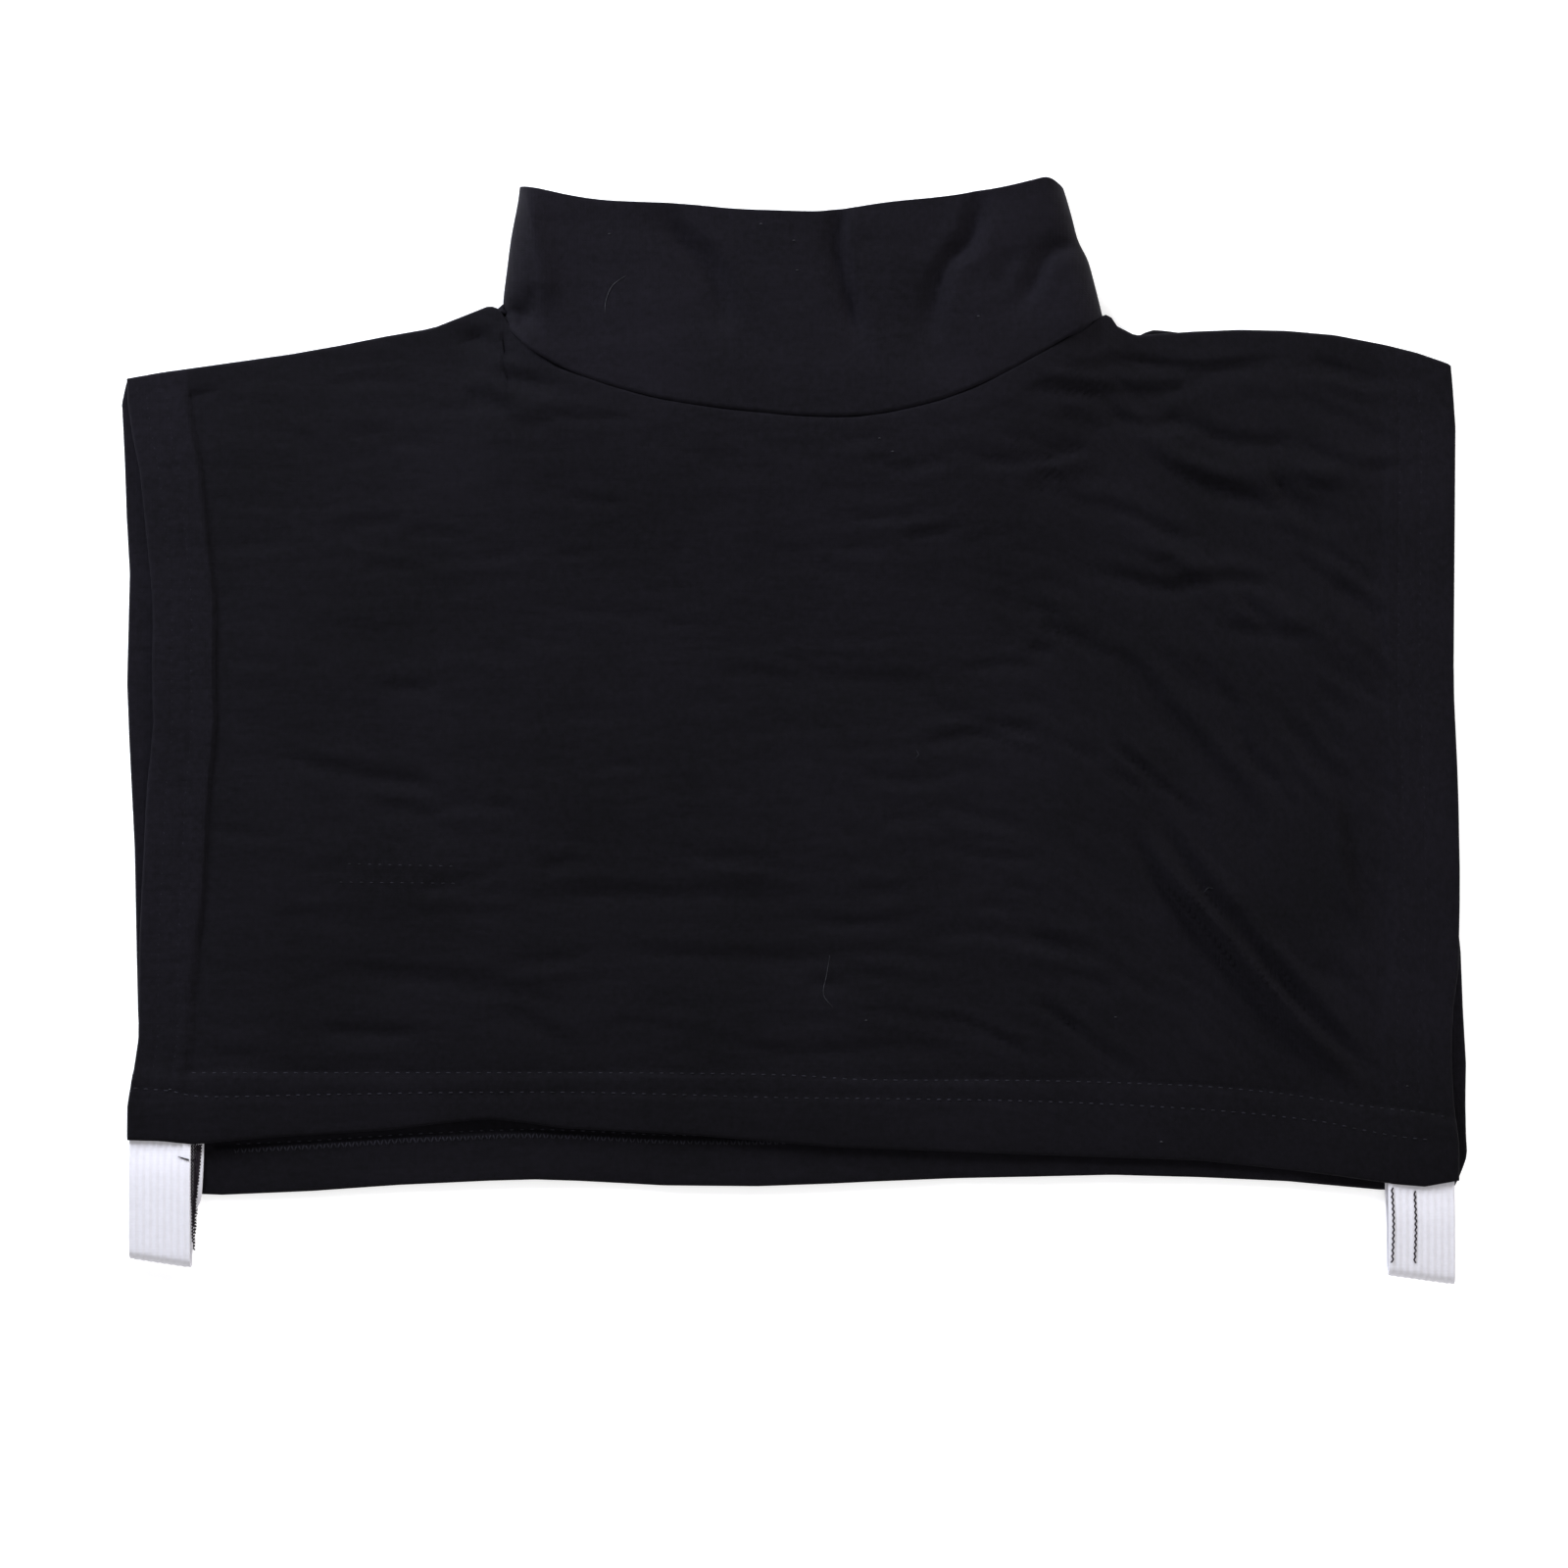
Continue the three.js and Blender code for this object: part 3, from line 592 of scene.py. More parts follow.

# %% [markdown]
# The hems come from the distances to the sides. A hem is two layers, so its inner end is a small step
# down, and each row of stitches pulls a groove. The rows were sewn side by side by a twin needle. Along
# the bottom they run straighter than the edge below them, so they have paths of their own, and the
# grid's lines are shifted to follow the lower one. The neck edge is drawn up a little under the collar,
# and more so at its two ends, so that no gap shows there. A value is kept with each point, and the
# material makes the cloth paler by it: this is painted light, brighter by the neck and along the side
# hems, where more light falls.

# %% Make the front bib
LOWER_ROW = [
    (-202, -108.5), (-190.4, -109.4), (-178.4, -111.2), (-143, -110.6), (-104.6, -110), (-59.9, -110),
    (-4.7, -111.5), (23.3, -111.8), (75.2, -112.7), (124, -115.1), (157.7, -118.4), (172, -121.1),
    (183.5, -123.2), (194.9, -124.4),
]
UPPER_ROW = [
    (-184.4, -104), (-59.9, -104), (-4.7, -104.6), (23.3, -106.1), (75.2, -106.4), (114.5, -107.6),
    (133.7, -108.8), (152.9, -110.9), (172, -113.9), (191, -116), (200.6, -117.8),
]
NEEDLES = 6.4 * MM
HEM_DEPTH = 14.4 * MM
SHIFT_IN = (0, 12 * MM)
SHIFT_OUT = (30 * MM, 60 * MM)
SIDE_ROWS = {"left": (6 * MM, 12 * MM), "right": (10.5 * MM, 17 * MM)}
SIDE_HEM = {"left": 19 * MM, "right": HEM}
LEDGE = {"left": 1.5 * MM, "right": 0.5 * MM, "bottom": 0.6 * MM}
LEDGE_RUN = 0.5 * MM
LEDGE_CLIMB = 6 * MM
LEFT_DRIFT = 3.3 * MM
DRIFT_DOWN = (45 * MM, 100 * MM)
GROOVE = 0.35 * MM
GROOVE_WIDTH = 0.7 * MM
PUCKER = 0.12 * MM
PUCKER_PITCH = 7.5 * MM
PUCKER_REACH = 7 * MM
PUCKER_WANDER = 3
FINEST = 1.6 * MM
FELT_ROUNDS = 22
SETTLE = 1.0 * MM
SETTLE_REACH = 8 * MM
# Where folds and wrinkles grow to their full height, and the share of it that they have before that
CALM_NECK = (1 * MM, 9 * MM)
SOFT_FROM = {"bottom": (6 * MM, 34 * MM), "left": (8 * MM, 30 * MM), "right": (6 * MM, 26 * MM)}
STIFF_FOLDS = 0.25
STIFF_WRINKLES = 0.3
CORNER_CALM = 0.6
CORNER_FROM = (10 * MM, 24 * MM)
STEEPEST = 1.6
THINNEST = 0.9
NECK_REACH = 0.75 * MM
NECK_FROM = (-88 * MM, -82 * MM)
NECK_TO = (86 * MM, 93 * MM)
NECK_DEPTH = 4 * MM
# x, y, reach in x, reach in y, size
NECK_ENDS = [(-89.5, 123, 1.8, 1.4, 4), (93, 124.8, -0.8, 1, 3)]
# Painted light, by making the cloth paler: round a middle by the neck, and along the side hems above the
# bottom hem
PAINTED_LIGHT_MIDDLE = (15 * MM, 115 * MM)
PAINTED_LIGHT_REACH = 80 * MM
PAINTED_LIGHT_SIDE = (-12 * MM, 25 * MM)
NECK_PAINTED_LIGHT = 0.95
RIGHT_PAINTED_LIGHT = 0.9
PAINTED_LIGHT_FROM_BOTTOM = (-5 * MM, 30 * MM)


def row_height(row, x):
    """How far up a row along the bottom runs at x."""
    points = np.array(row) * MM
    return np.interp(x, points[:, 0], points[:, 1])


def groove(away):
    """Depth that a row of stitches pulls down at a distance from the row."""
    return -GROOVE * np.exp(-((away / GROOVE_WIDTH) ** 2))


def ledge(past, side):
    """The step down past the inner end of a hem, which the cloth soon climbs back from."""
    step = smooth_step(past, -LEDGE_RUN, LEDGE_RUN)
    return -LEDGE[side] * step * np.exp(-np.clip(past, 0, None) / LEDGE_CLIMB)


def pucker(along_hem, inset, middle, seed):
    """Small ripples across a hem, where its stitches gather the cloth."""
    uneven = PUCKER_WANDER * noise(along_hem, inset, 20 * MM, 1.0, seed)
    wave = np.sin(math.tau * along_hem / PUCKER_PITCH + uneven)
    strength = 0.5 + 0.5 * noise(along_hem, inset, 30 * MM, 1.0, seed + 1)
    return PUCKER * wave * strength * np.exp(-(((inset - middle) / PUCKER_REACH) ** 2))


def fine_wrinkles(x, y):
    """Wrinkles too fine for the table: long ones across the bib, and faint ones down it."""
    across = noise(x, y, 34 * MM, 7 * MM, 11) + 0.6 * noise(x + y, y, 22 * MM, 4.5 * MM, 12)
    down = noise(x, y, 6 * MM, 45 * MM, 13)
    patchy = 0.55 + 0.45 * noise(x, y, 60 * MM, 40 * MM, 14)
    return (0.2 * MM * across + 0.07 * MM * down) * patchy


def painted_light_share(x, y, past):
    """Painted light, from 0 to 1, that makes the cloth paler: at the neck and along the side hems."""
    at_neck = bell(x, y, PAINTED_LIGHT_MIDDLE, PAINTED_LIGHT_REACH)
    at_sides = np.maximum(
        1 - smooth_step(past["left"], -HEM_STEP, 0),
        RIGHT_PAINTED_LIGHT - RIGHT_PAINTED_LIGHT * smooth_step(past["right"], *PAINTED_LIGHT_SIDE),
    )
    return np.maximum(NECK_PAINTED_LIGHT * at_neck, at_sides * smooth_step(past["bottom"], *PAINTED_LIGHT_FROM_BOTTOM))


def front_grid():
    """The front's grid lines, shifted near the bottom to follow the lower row of stitches."""
    width, height = size_of(front_sides)
    side_marks = [[*SIDE_ROWS[side], SIDE_HEM[side]] for side in ("left", "right")]
    u, v = np.meshgrid(
        spread(width, FINEST, *side_marks),
        spread(height, FINEST, [HEM_DEPTH, HEM_DEPTH + NEEDLES], [SEAM]),
    )
    edge_x, edge_y = along(front_sides["bottom"], 0, u)
    shift = row_height(LOWER_ROW, edge_x) - edge_y - HEM_DEPTH
    in_hem = smooth_step(v * height, *SHIFT_IN) * (1 - smooth_step(v * height, *SHIFT_OUT))
    return u, v + shift / height * in_hem


def past_hems(x, y, inset):
    """How far points lie past the inner end of each hem, below 0 within it."""
    return {
        "left": inset["left"] - SIDE_HEM["left"] + LEFT_DRIFT * smooth_step(-y, *DRIFT_DOWN),
        "right": inset["right"] - SIDE_HEM["right"],
        "bottom": y - row_height(UPPER_ROW, x),
        "top": inset["top"] - SEAM,
    }


def with_wrinkles(upper, x, y, inset, bottom):
    """The front's heights with its folds and wrinkles, which are weaker by the neck and in the hems."""
    calm = smooth_step(np.abs(beside(x, y, front_sides["top"])[0]), *CALM_NECK)
    soft = smooth_step(bottom, *SOFT_FROM["bottom"])
    for side in ("left", "right"):
        soft = soft * smooth_step(inset[side], *SOFT_FROM[side])
    upper = upper - SETTLE * np.exp(-np.clip(inset["bottom"], 0, None) / SETTLE_REACH)
    folded = folds_rise(x, y, FRONT_FOLDS + short_wrinkles(SHORT_WRINKLES, 71))
    upper = upper + folded * calm * (STIFF_FOLDS + (1 - STIFF_FOLDS) * soft)
    return upper + fine_wrinkles(x, y) * calm * (STIFF_WRINKLES + (1 - STIFF_WRINKLES) * soft)


def with_hems(upper, x, y, inset, past, bottom):
    """The front's heights with the ledges, grooves and puckers of its hems."""
    in_corner = 1 - CORNER_CALM * (1 - smooth_step(bottom, *CORNER_FROM))
    for side, rows in SIDE_ROWS.items():
        upper = upper + in_corner * ledge(past[side], side)
        for row in rows:
            upper = upper + in_corner * groove(inset[side] - row)
        upper = upper + pucker(y, inset[side], np.mean(rows), 21)
    upper = upper + ledge(past["bottom"], "bottom") + pucker(x, bottom, HEM_DEPTH + NEEDLES / 2, 31)
    for row in (LOWER_ROW, UPPER_ROW):
        upper = upper + groove(y - row_height(row, x))
    return upper


def thickened(upper, x, y, thick):
    """Upper and lower heights of cloth that lies on the back's hems. Steep cloth is thicker upright."""
    step_y, step_x = np.gradient(upper)
    run_x, run_y = np.gradient(x, axis=1), np.gradient(y, axis=0)
    slope = np.sqrt(1 + (step_x / run_x) ** 2 + (step_y / run_y) ** 2)
    lower = np.maximum(upper - thick * np.clip(slope, 1, STEEPEST), TURNED + LYING_GAP)
    return np.maximum(upper, lower + THINNEST * thick), lower


def drawn_up(x, y, inset):
    """Points with the neck edge drawn up under the collar."""
    at_neck = smooth_step(x, *NECK_FROM) * (1 - smooth_step(x, *NECK_TO))
    y = y + NECK_REACH * at_neck * (1 - smooth_step(inset["top"], 0, NECK_DEPTH))
    for end_x, end_y, reach_x, reach_y, size in np.array(NECK_ENDS) * MM:
        at_end = bell(x, y, (end_x, end_y), size)
        x, y = x + reach_x * at_end, y + reach_y * at_end
    return x, y


def make_front():
    u, v = front_grid()
    x, y = stretch(front_sides, u, v)
    inset = insets(front_sides, x, y)
    past = past_hems(x, y, inset)
    bottom = past["bottom"] + HEM_DEPTH + NEEDLES
    turned = 1 - smooth_step(np.minimum.reduce(list(past.values())), -HEM_STEP, 0)
    upper = felt_heights("front_panel", front_sides, u, v, FELT_ROUNDS)
    upper = with_wrinkles(upper, x, y, inset, bottom)
    upper = with_hems(upper, x, y, inset, past, bottom)
    upper, lower = thickened(upper, x, y, PLY + (TURNED - PLY) * turned)
    x, y = drawn_up(x, y, inset)
    sheet = close_sheet("front_panel_cloth", x, y, *rounded_rim(upper, lower, inset))
    # The value stored here paints light: the material makes the cloth paler by it.
    store(sheet, "painted_light", painted_light_share(x, y, past))
    return sheet


front = make_front()

# %% [markdown]
# ## The back bib
#
# The back bib lies flat on the table, and its inner side faces up. It shows as a band along the bottom
# and as slivers at the sides. Its hem is turned to the inner side, so here the turned layer is on top
# and the step at its end goes down to the single layer. Its lower right corner reaches a little further
# out than the solid, and its right shoulder dips where the front's has a notch, so that it stays hidden.

# %% Make the back bib
BACK_HEM = 14.5 * MM
BACK_ROW = 13.5 * MM
BACK_STEP = 2.4 * MM
LOOPS_END = (22 * MM, 40 * MM)
CURL = 0.9 * MM
CURL_REACH = 5 * MM
CURL_END = 30 * MM
RIPPLE = 0.12 * MM
RIPPLE_END = 40 * MM
RIPPLE_FROM_SIDE = 5 * MM
CORNER = (203 * MM, -138 * MM)
CORNER_REACH = 2.2 * MM
CORNER_SIZE = 14 * MM
NOTCH = 104 * MM
NOTCH_DEPTH = 3.1 * MM
NOTCH_SIZE = 3.5 * MM
SHOULDER_DEPTH = 12 * MM
BACK_PAINTED_LIGHT_FROM = (10 * MM, 50 * MM)


def curled(x, y, inset, side):
    """How high the back's lower side lifts and how much its upper side ripples, near the bottom."""
    free = smooth_step(side, *LOOPS_END)
    lift = CURL * np.exp(-inset["bottom"] / CURL_REACH) * free
    lift = lift * (0.5 + 0.5 * noise(x, y, 26 * MM, 1.0, 41))
    ripple = RIPPLE * (1 + noise(x, y, 7 * MM, 9 * MM, 42)) * free * (inset["bottom"] < RIPPLE_END)
    ripple = ripple * rim_share(inset) * smooth_step(side, 0, RIPPLE_FROM_SIDE) * 0.5
    return lift * smooth_step(inset["bottom"], CURL_END, 0), ripple


def make_back():
    width, height = size_of(back_sides)
    u, v = np.meshgrid(
        spread(width, BACK_STEP, [HEM], [HEM]),
        spread(height, BACK_STEP, [BACK_HEM - 2 * MM, BACK_HEM], [SEAM]),
    )
    x, y = stretch(back_sides, u, v)
    inset = insets(back_sides, x, y)
    side = np.minimum(inset["left"], inset["right"])
    in_side_hem = 1 - smooth_step(side, HEM - HEM_STEP, HEM)
    turned = np.maximum.reduce([
        in_side_hem,
        1 - smooth_step(inset["bottom"], BACK_HEM - HEM_STEP / 2, BACK_HEM + HEM_STEP / 2),
        1 - smooth_step(inset["top"], SEAM - HEM_STEP, SEAM),
    ])
    lower, ripple = curled(x, y, inset, side)
    upper = lower + (PLY + (TURNED - PLY) * turned) + ripple
    at_shoulder = 1 - smooth_step(inset["top"], 0, SHOULDER_DEPTH)
    y = y - NOTCH_DEPTH * np.exp(-(((x - NOTCH) / NOTCH_SIZE) ** 2)) * at_shoulder
    x = x + CORNER_REACH * bell(x, y, CORNER, CORNER_SIZE)
    sheet = close_sheet("back_panel_cloth", x, y, *rounded_rim(upper, lower, inset))
    # Painted light: the back's side hems, which show as slivers beside the front, are made paler, but not
    # near the bottom.
    store(sheet, "painted_light", in_side_hem * smooth_step(inset["bottom"], *BACK_PAINTED_LIGHT_FROM))
    return sheet


back = make_back()

# %% [markdown]
# ## The collar
#
# The collar is one tube of jersey folded in half, so that its top edge is a fold and its wall is two
# layers. It is modelled the same way. The outer skin of the solid's copy is kept and smoothed, a second
# layer is shrunk inside it, a bridge of faces joins the two over the top, and a bevel rounds that fold.

# %% Folds of the collar
COLLAR_FOLDS = [
    # rise, width, lip, path
    (-2.4, 3.2, 0.5, [(-41, 159), (-33, 149), (-27, 143), (-22, 134), (-19, 118)]),
    (-3.2, 2.4, 0.5, [(15, 164), (13, 150), (15, 140), (17, 132), (21, 114)]),
    (-2.5, 3, 0.5, [(58, 168), (53, 150), (47, 144), (44, 137), (40, 114)]),
    (1.4, 3, 0, [(54, 168), (49, 153), (44, 146), (38, 134)]),
    (-2, 2.6, 0.5, [(90, 150), (78, 146), (74, 140), (69, 126)]),
    (-1.1, 2.4, 0.4, [(68, 148), (64, 140), (61, 133)]),
    (1.7, 2.9, 0, [(-83, 172), (-78, 149), (-76, 137), (-79, 130), (-89, 124)]),
    (-2.1, 2.6, 0, [(-77, 137), (-80, 129), (-85, 121)]),
    (-3.1, 3, 0, [(-98, 129), (-88, 128), (-78, 127)]),
]
SEAM_ROLL = 2.4 * MM
print("folds on the collar:", len(COLLAR_FOLDS))


# %% [markdown]
# The solid's copy has an outer and an inner skin and two ends. A face belongs to the outer skin when it
# looks away from the flat space inside the tube. All the other faces are deleted.

# %% Keep the outer skin of the collar
CORE_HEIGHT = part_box("collar")[1].z / 2
CORE_REACH = 76 * MM
END_TURN = 0.55


def core_point(x, y):
    """The nearest point in the flat space inside the collar."""
    return Vector((min(max(x, -CORE_REACH), CORE_REACH), y, CORE_HEIGHT))


def faces_outwards(face):
    """Whether a face of the wall, not of its ends, looks away from the space inside."""
    away = face.center - core_point(face.center.x, face.center.y)
    return face.normal.dot(away) > 0 and abs(face.normal.y) < END_TURN


collar = copy_solid("collar", "collar_cloth")
open_parts(collar, "FACE", [face.index for face in collar.data.polygons if not faces_outwards(face)])
bpy.ops.mesh.delete(type="FACE")
close_edit()
print("outer skin:", len(collar.data.polygons), "faces")

# %% [markdown]
# Only the side that faces up gets the folds, and fine wrinkles besides. Just above the neck seam it rolls
# in a little, because the stitches pull it down.

# %% Smooth the skin and lay its folds
ON_FRONT = (2.5 * MM, 5.5 * MM)
ROLLED_IN = 0.3 * MM

apply_modifier(collar, "SUBSURF", levels=2, render_levels=2)
skin = vertices_of(collar)
skin_x, skin_y, skin_z = skin.T
neck_line = front_sides["top"]
above_seam = skin_y - np.interp(skin_x, neck_line[:, 0], neck_line[:, 1])
wrinkled = 0.24 * MM * noise(skin_x, skin_y, 7 * MM, 22 * MM, 51)
wrinkled += 0.14 * MM * noise(skin_x, skin_y, 26 * MM, 5 * MM, 52)
rolled_in = -ROLLED_IN * np.exp(-np.clip(above_seam, 0, None) / SEAM_ROLL)
folded = folds_rise(skin_x, skin_y, COLLAR_FOLDS)
skin[:, 2] += smooth_step(skin_z, *ON_FRONT) * (folded + wrinkled + rolled_in)
move_vertices(collar, skin)
print("skin of the collar:", len(skin), "points")

# %% [markdown]
# A copy of the skin, shrunk inwards, is the inner layer. Its lower end gets a seam allowance in three
# steps, first inwards and then down under the bib. The two upper ends are bridged, the bridge is rounded
# into a fold, and the whole cloth gets its thickness last.

# %% Add the inner layer and fold the cloth over the top
COLLAR_WALL = 2.0 * MM
COLLAR_PLY = 0.9 * MM
FOLD_RADIUS = 0.85 * MM
END_RUN = 9 * MM
MIDDLE_RUN = 1 * MM
# inwards, down, dip at both ends
ALLOWANCE = [(1.3 * MM, 0.2 * MM, 0), (0.2 * MM, 3 * MM, 1.3 * MM), (0.1 * MM, 3 * MM, 0.3 * MM)]


def open_ends(obj):
    """The two open ends of a tube along Y, as two sets of edge numbers: the lower and the upper one."""
    uses = np.zeros(len(obj.data.edges), int)
    pairs = {edge.key: edge.index for edge in obj.data.edges}
    for face in obj.data.polygons:
        for key in face.edge_keys:
            uses[pairs[key]] += 1
    places = vertices_of(obj)
    middle = (places[:, 1].min() + places[:, 1].max()) / 2
    open_edges = [edge for edge in obj.data.edges if uses[edge.index] == 1]
    upper = {edge.index for edge in open_edges if places[edge.vertices[0], 1] > middle}
    return {edge.index for edge in open_edges} - upper, upper


open_whole(collar)
bpy.ops.mesh.duplicate()
bpy.ops.transform.shrink_fatten(value=-COLLAR_WALL)
bpy.ops.mesh.flip_normals()
close_edit()

for inwards, down, dip in ALLOWANCE:
    before = len(collar.data.vertices)
    edges = collar.data.edges
    inner_ends = [number for number in open_ends(collar)[0] if edges[number].vertices[0] >= len(skin)]
    open_parts(collar, "EDGE", inner_ends)
    bpy.ops.mesh.extrude_edges_move()
    close_edit()
    places = vertices_of(collar)
    added = places[before:]
    to_core = np.array([core_point(x, y) for x, y, _ in added]) - added
    added += to_core / np.linalg.norm(to_core, axis=1)[:, None] * inwards
    added[:, 1] -= down
    at_ends = smooth_step(np.abs(added[:, 0]), CORE_REACH, CORE_REACH + END_RUN)
    in_front = smooth_step(added[:, 2], CORE_HEIGHT - MIDDLE_RUN, CORE_HEIGHT + MIDDLE_RUN)
    added[:, 2] -= dip * at_ends * in_front
    move_vertices(collar, places)
print("with its seam allowance:", len(collar.data.polygons), "faces")

top_edges = open_ends(collar)[1]
open_parts(collar, "EDGE", top_edges)
bpy.ops.mesh.bridge_edge_loops()
close_edit()
open_parts(collar, "EDGE", top_edges)
bpy.ops.mesh.bevel(offset=FOLD_RADIUS, segments=4, profile=0.5, clamp_overlap=True)
close_edit()
apply_modifier(collar, "SOLIDIFY", thickness=COLLAR_PLY, offset=-1, use_rim=True)
collar.data.shade_smooth()
print("collar_cloth has", 2 * len(collar.data.polygons), "triangles")

# %% [markdown]
# ## The elastic loops
#
# Each loop is a strip of white ribbed elastic, folded over at the bottom. Its solid already follows the
# fold, so a copy is cut lengthwise into narrow strips and smoothed. The ribs are then raised by moving
# each point along its normal, by a wave across the strip.

# %% Make the elastic loops
RIB_PITCH = 2.1 * MM
RIB_RISE = 0.16 * MM
ACROSS = 4 * MM
STRIP_CUTS = 5
# How far the surface is turned sideways where the ribs end, and where they have their full height
RIBS_TURN = (0.6, 0.2)


def make_strap(node, name):
    strap = copy_solid(node, name)
    open_parts(strap, "EDGE", edges_across(strap, ACROSS))
    bpy.ops.mesh.subdivide(number_cuts=STRIP_CUTS)
    close_edit()
    apply_modifier(strap, "SUBSURF", levels=2, render_levels=2)
    places = vertices_of(strap)
    normals = np.array([vertex.normal for vertex in strap.data.vertices])
    wave = np.cos(math.tau * (places[:, 0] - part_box(node)[0].x) / RIB_PITCH)
    flat = smooth_step(np.abs(normals[:, 0]), *RIBS_TURN)
    places += normals * (RIB_RISE * (wave - 1) / 2 * flat)[:, None]
    move_vertices(strap, places)
    strap.data.shade_smooth()
    print(name, "has", 2 * len(strap.data.polygons), "triangles")
    return strap


strap_left = make_strap("strap_left", "strap_left_elastic")
strap_right = make_strap("strap_right", "strap_right_elastic")

# %% [markdown]
# ## One stitch
#
# A stitch is a short piece of thread that comes up through one needle hole and goes down through the
# next. It starts as a thin six-sided cylinder. Cuts across it let the middle rise and the ends dip into
# the cloth, and both ends are drawn together. All other stitches are copies of it.

# %% Model one stitch
THREAD = 0.48 * MM
STITCH_PITCH = 3.1 * MM
STITCH_LENGTH = 1.8 * MM
STITCH_CUTS = 3
DRAWN_IN = 0.5
STITCH_DIP = 0.45 * MM

bpy.ops.object.select_all(action="DESELECT")
bpy.ops.mesh.primitive_cylinder_add(
    vertices=6, radius=THREAD / 2, depth=STITCH_LENGTH, rotation=(0, math.pi / 2, 0)
)
stitch = bpy.context.object
stitch.name = "one_stitch"
bpy.ops.object.transform_apply(location=True, rotation=True, scale=True)
open_parts(stitch, "EDGE", edges_across(stitch, THREAD))
bpy.ops.mesh.subdivide(number_cuts=STITCH_CUTS)
close_edit()
thread_points = vertices_of(stitch)
share_out = np.abs(thread_points[:, 0]) / (STITCH_LENGTH / 2)
thinned = 1 - DRAWN_IN * share_out**4
thread_points[:, 1] *= thinned
thread_points[:, 2] = thread_points[:, 2] * thinned - STITCH_DIP * share_out**2.5
move_vertices(stitch, thread_points)
print("faces of a stitch:", len(stitch.data.polygons))

# %% [markdown]
# Copies are laid along a path at an even pitch. Each one is turned along the path and tilted to the
# cloth beneath it, and it is made a little longer or shorter by a seeded draw, because a machine never
# sews two alike. The copies are joined into one mesh for each seam.

# %% Copy stitches along paths
# How far a stitch's length and direction vary, and where the side hems' rows start and end
LENGTHS = (0.88, 1.08)
SWAY = 0.07
SIDE_ROW_ENDS = (0.09, 0.985)


def evenly_along(path, pitch):
    """Points and directions at an even pitch along a path."""
    lengths = np.r_[0, np.cumsum(np.hypot(*np.diff(path, axis=0).T))]
    at = np.arange(pitch / 2, lengths[-1], pitch)
    x, y = np.interp(at, lengths, path[:, 0]), np.interp(at, lengths, path[:, 1])
    ahead_x, ahead_y = (np.interp(at + pitch / 4, lengths, path[:, i]) for i in (0, 1))
    back_x, back_y = (np.interp(at - pitch / 4, lengths, path[:, i]) for i in (0, 1))
    return zip(x, y, np.arctan2(ahead_y - back_y, ahead_x - back_x))


def sew(name, spots, ground, seed, start=HIGH_ABOVE, lift=0.05 * MM, length=1.0):
    """Copy the stitch to each spot, given as x, y and direction, on the ground beneath it."""
    shape = vertices_of(stitch)
    corners = [face.vertices[:] for face in stitch.data.polygons]
    sides, caps = (np.array([face for face in corners if len(face) == count]) for count in (4, 6))
    tree = drop_tree(ground)
    rng = np.random.default_rng(seed)
    points, quads, ends = [], [], []
    for x, y, turn in spots:
        stretch_by, sway = rng.uniform(*LENGTHS) * length, rng.uniform(-SWAY, SWAY)
        reach = STITCH_LENGTH / 2 * stretch_by
        way = np.array([math.cos(turn + sway), math.sin(turn + sway)])
        fore = landing(tree, x + reach * way[0], y + reach * way[1], start)
        aft = landing(tree, x - reach * way[0], y - reach * way[1], start)
        here = landing(tree, x, y, start)
        local = shape * (stretch_by, 1, 1)
        tilt = (fore - aft) / (2 * reach)
        sag = (fore + aft) / 2 - here
        z = here + lift + local[:, 2] + local[:, 0] * tilt + sag * (local[:, 0] / reach) ** 2
        across = np.array([-way[1], way[0]])
        place = np.array([x, y]) + local[:, :1] * way + local[:, 1:2] * across
        quads.append(sides + len(shape) * len(points))
        ends.append(caps + len(shape) * len(points))
        points.append(np.column_stack([place, np.maximum(z, 0)]))
    print(name, "has", len(points), "stitches")
    return new_piece(name, points, np.vstack(quads).tolist() + np.vstack(ends).tolist())


def row_beside(sides, side, inset, start=0.01, end=0.99):
    """A path that keeps a distance from one side of a panel."""
    share = np.linspace(start, end, 160)
    axis = 1 if side in ("left", "right") else 0
    x, y = along(sides[side], axis, share)
    inward = {"left": (1, 0), "right": (-1, 0), "bottom": (0, 1)}[side]
    return np.column_stack([x + inward[0] * inset, y + inward[1] * inset])


bottom_spots, side_spots = [], []
for row in (LOWER_ROW, UPPER_ROW):
    bottom_spots += evenly_along(rounded_path(row) * MM, STITCH_PITCH)
for side, rows in SIDE_ROWS.items():
    for row in rows:
        side_spots += evenly_along(row_beside(front_sides, side, row, *SIDE_ROW_ENDS), STITCH_PITCH)
bottom_stitches = sew("front_hem_stitches", bottom_spots, front, 61)
side_stitches = sew("side_hem_stitches", side_spots, front, 62, lift=-0.17 * MM)

# %% [markdown]
# Two short rows of stitches lie on the left of the front bib, close above each other. On the inner side
# of the back's hem the looper thread of the twin-needle machine shows: it swings from one row of needle
# holes to the other, so its copies are laid as a zigzag, with a plain row of stitches above it. Two
# narrow zigzags of black thread hold the right loop. On the left loop five close zigzags of dark thread,
# laid on the back layer inside the loop, make the narrow wedge between its two layers dark.

# %% Sew the short rows, the back's hem and the elastic
SHORT_ROWS = [[(-137, -40.2), (-103, -41)], [(-139.5, -45.8), (-103, -46.2)]]
BACK_ROW_UP = 1.9 * MM
STRAP_ROWS = [
    [(182.3, -139), (182.6, -150), (182.2, -161.5)],
    [(189.2, -140), (189.4, -151), (189, -161.8)],
]
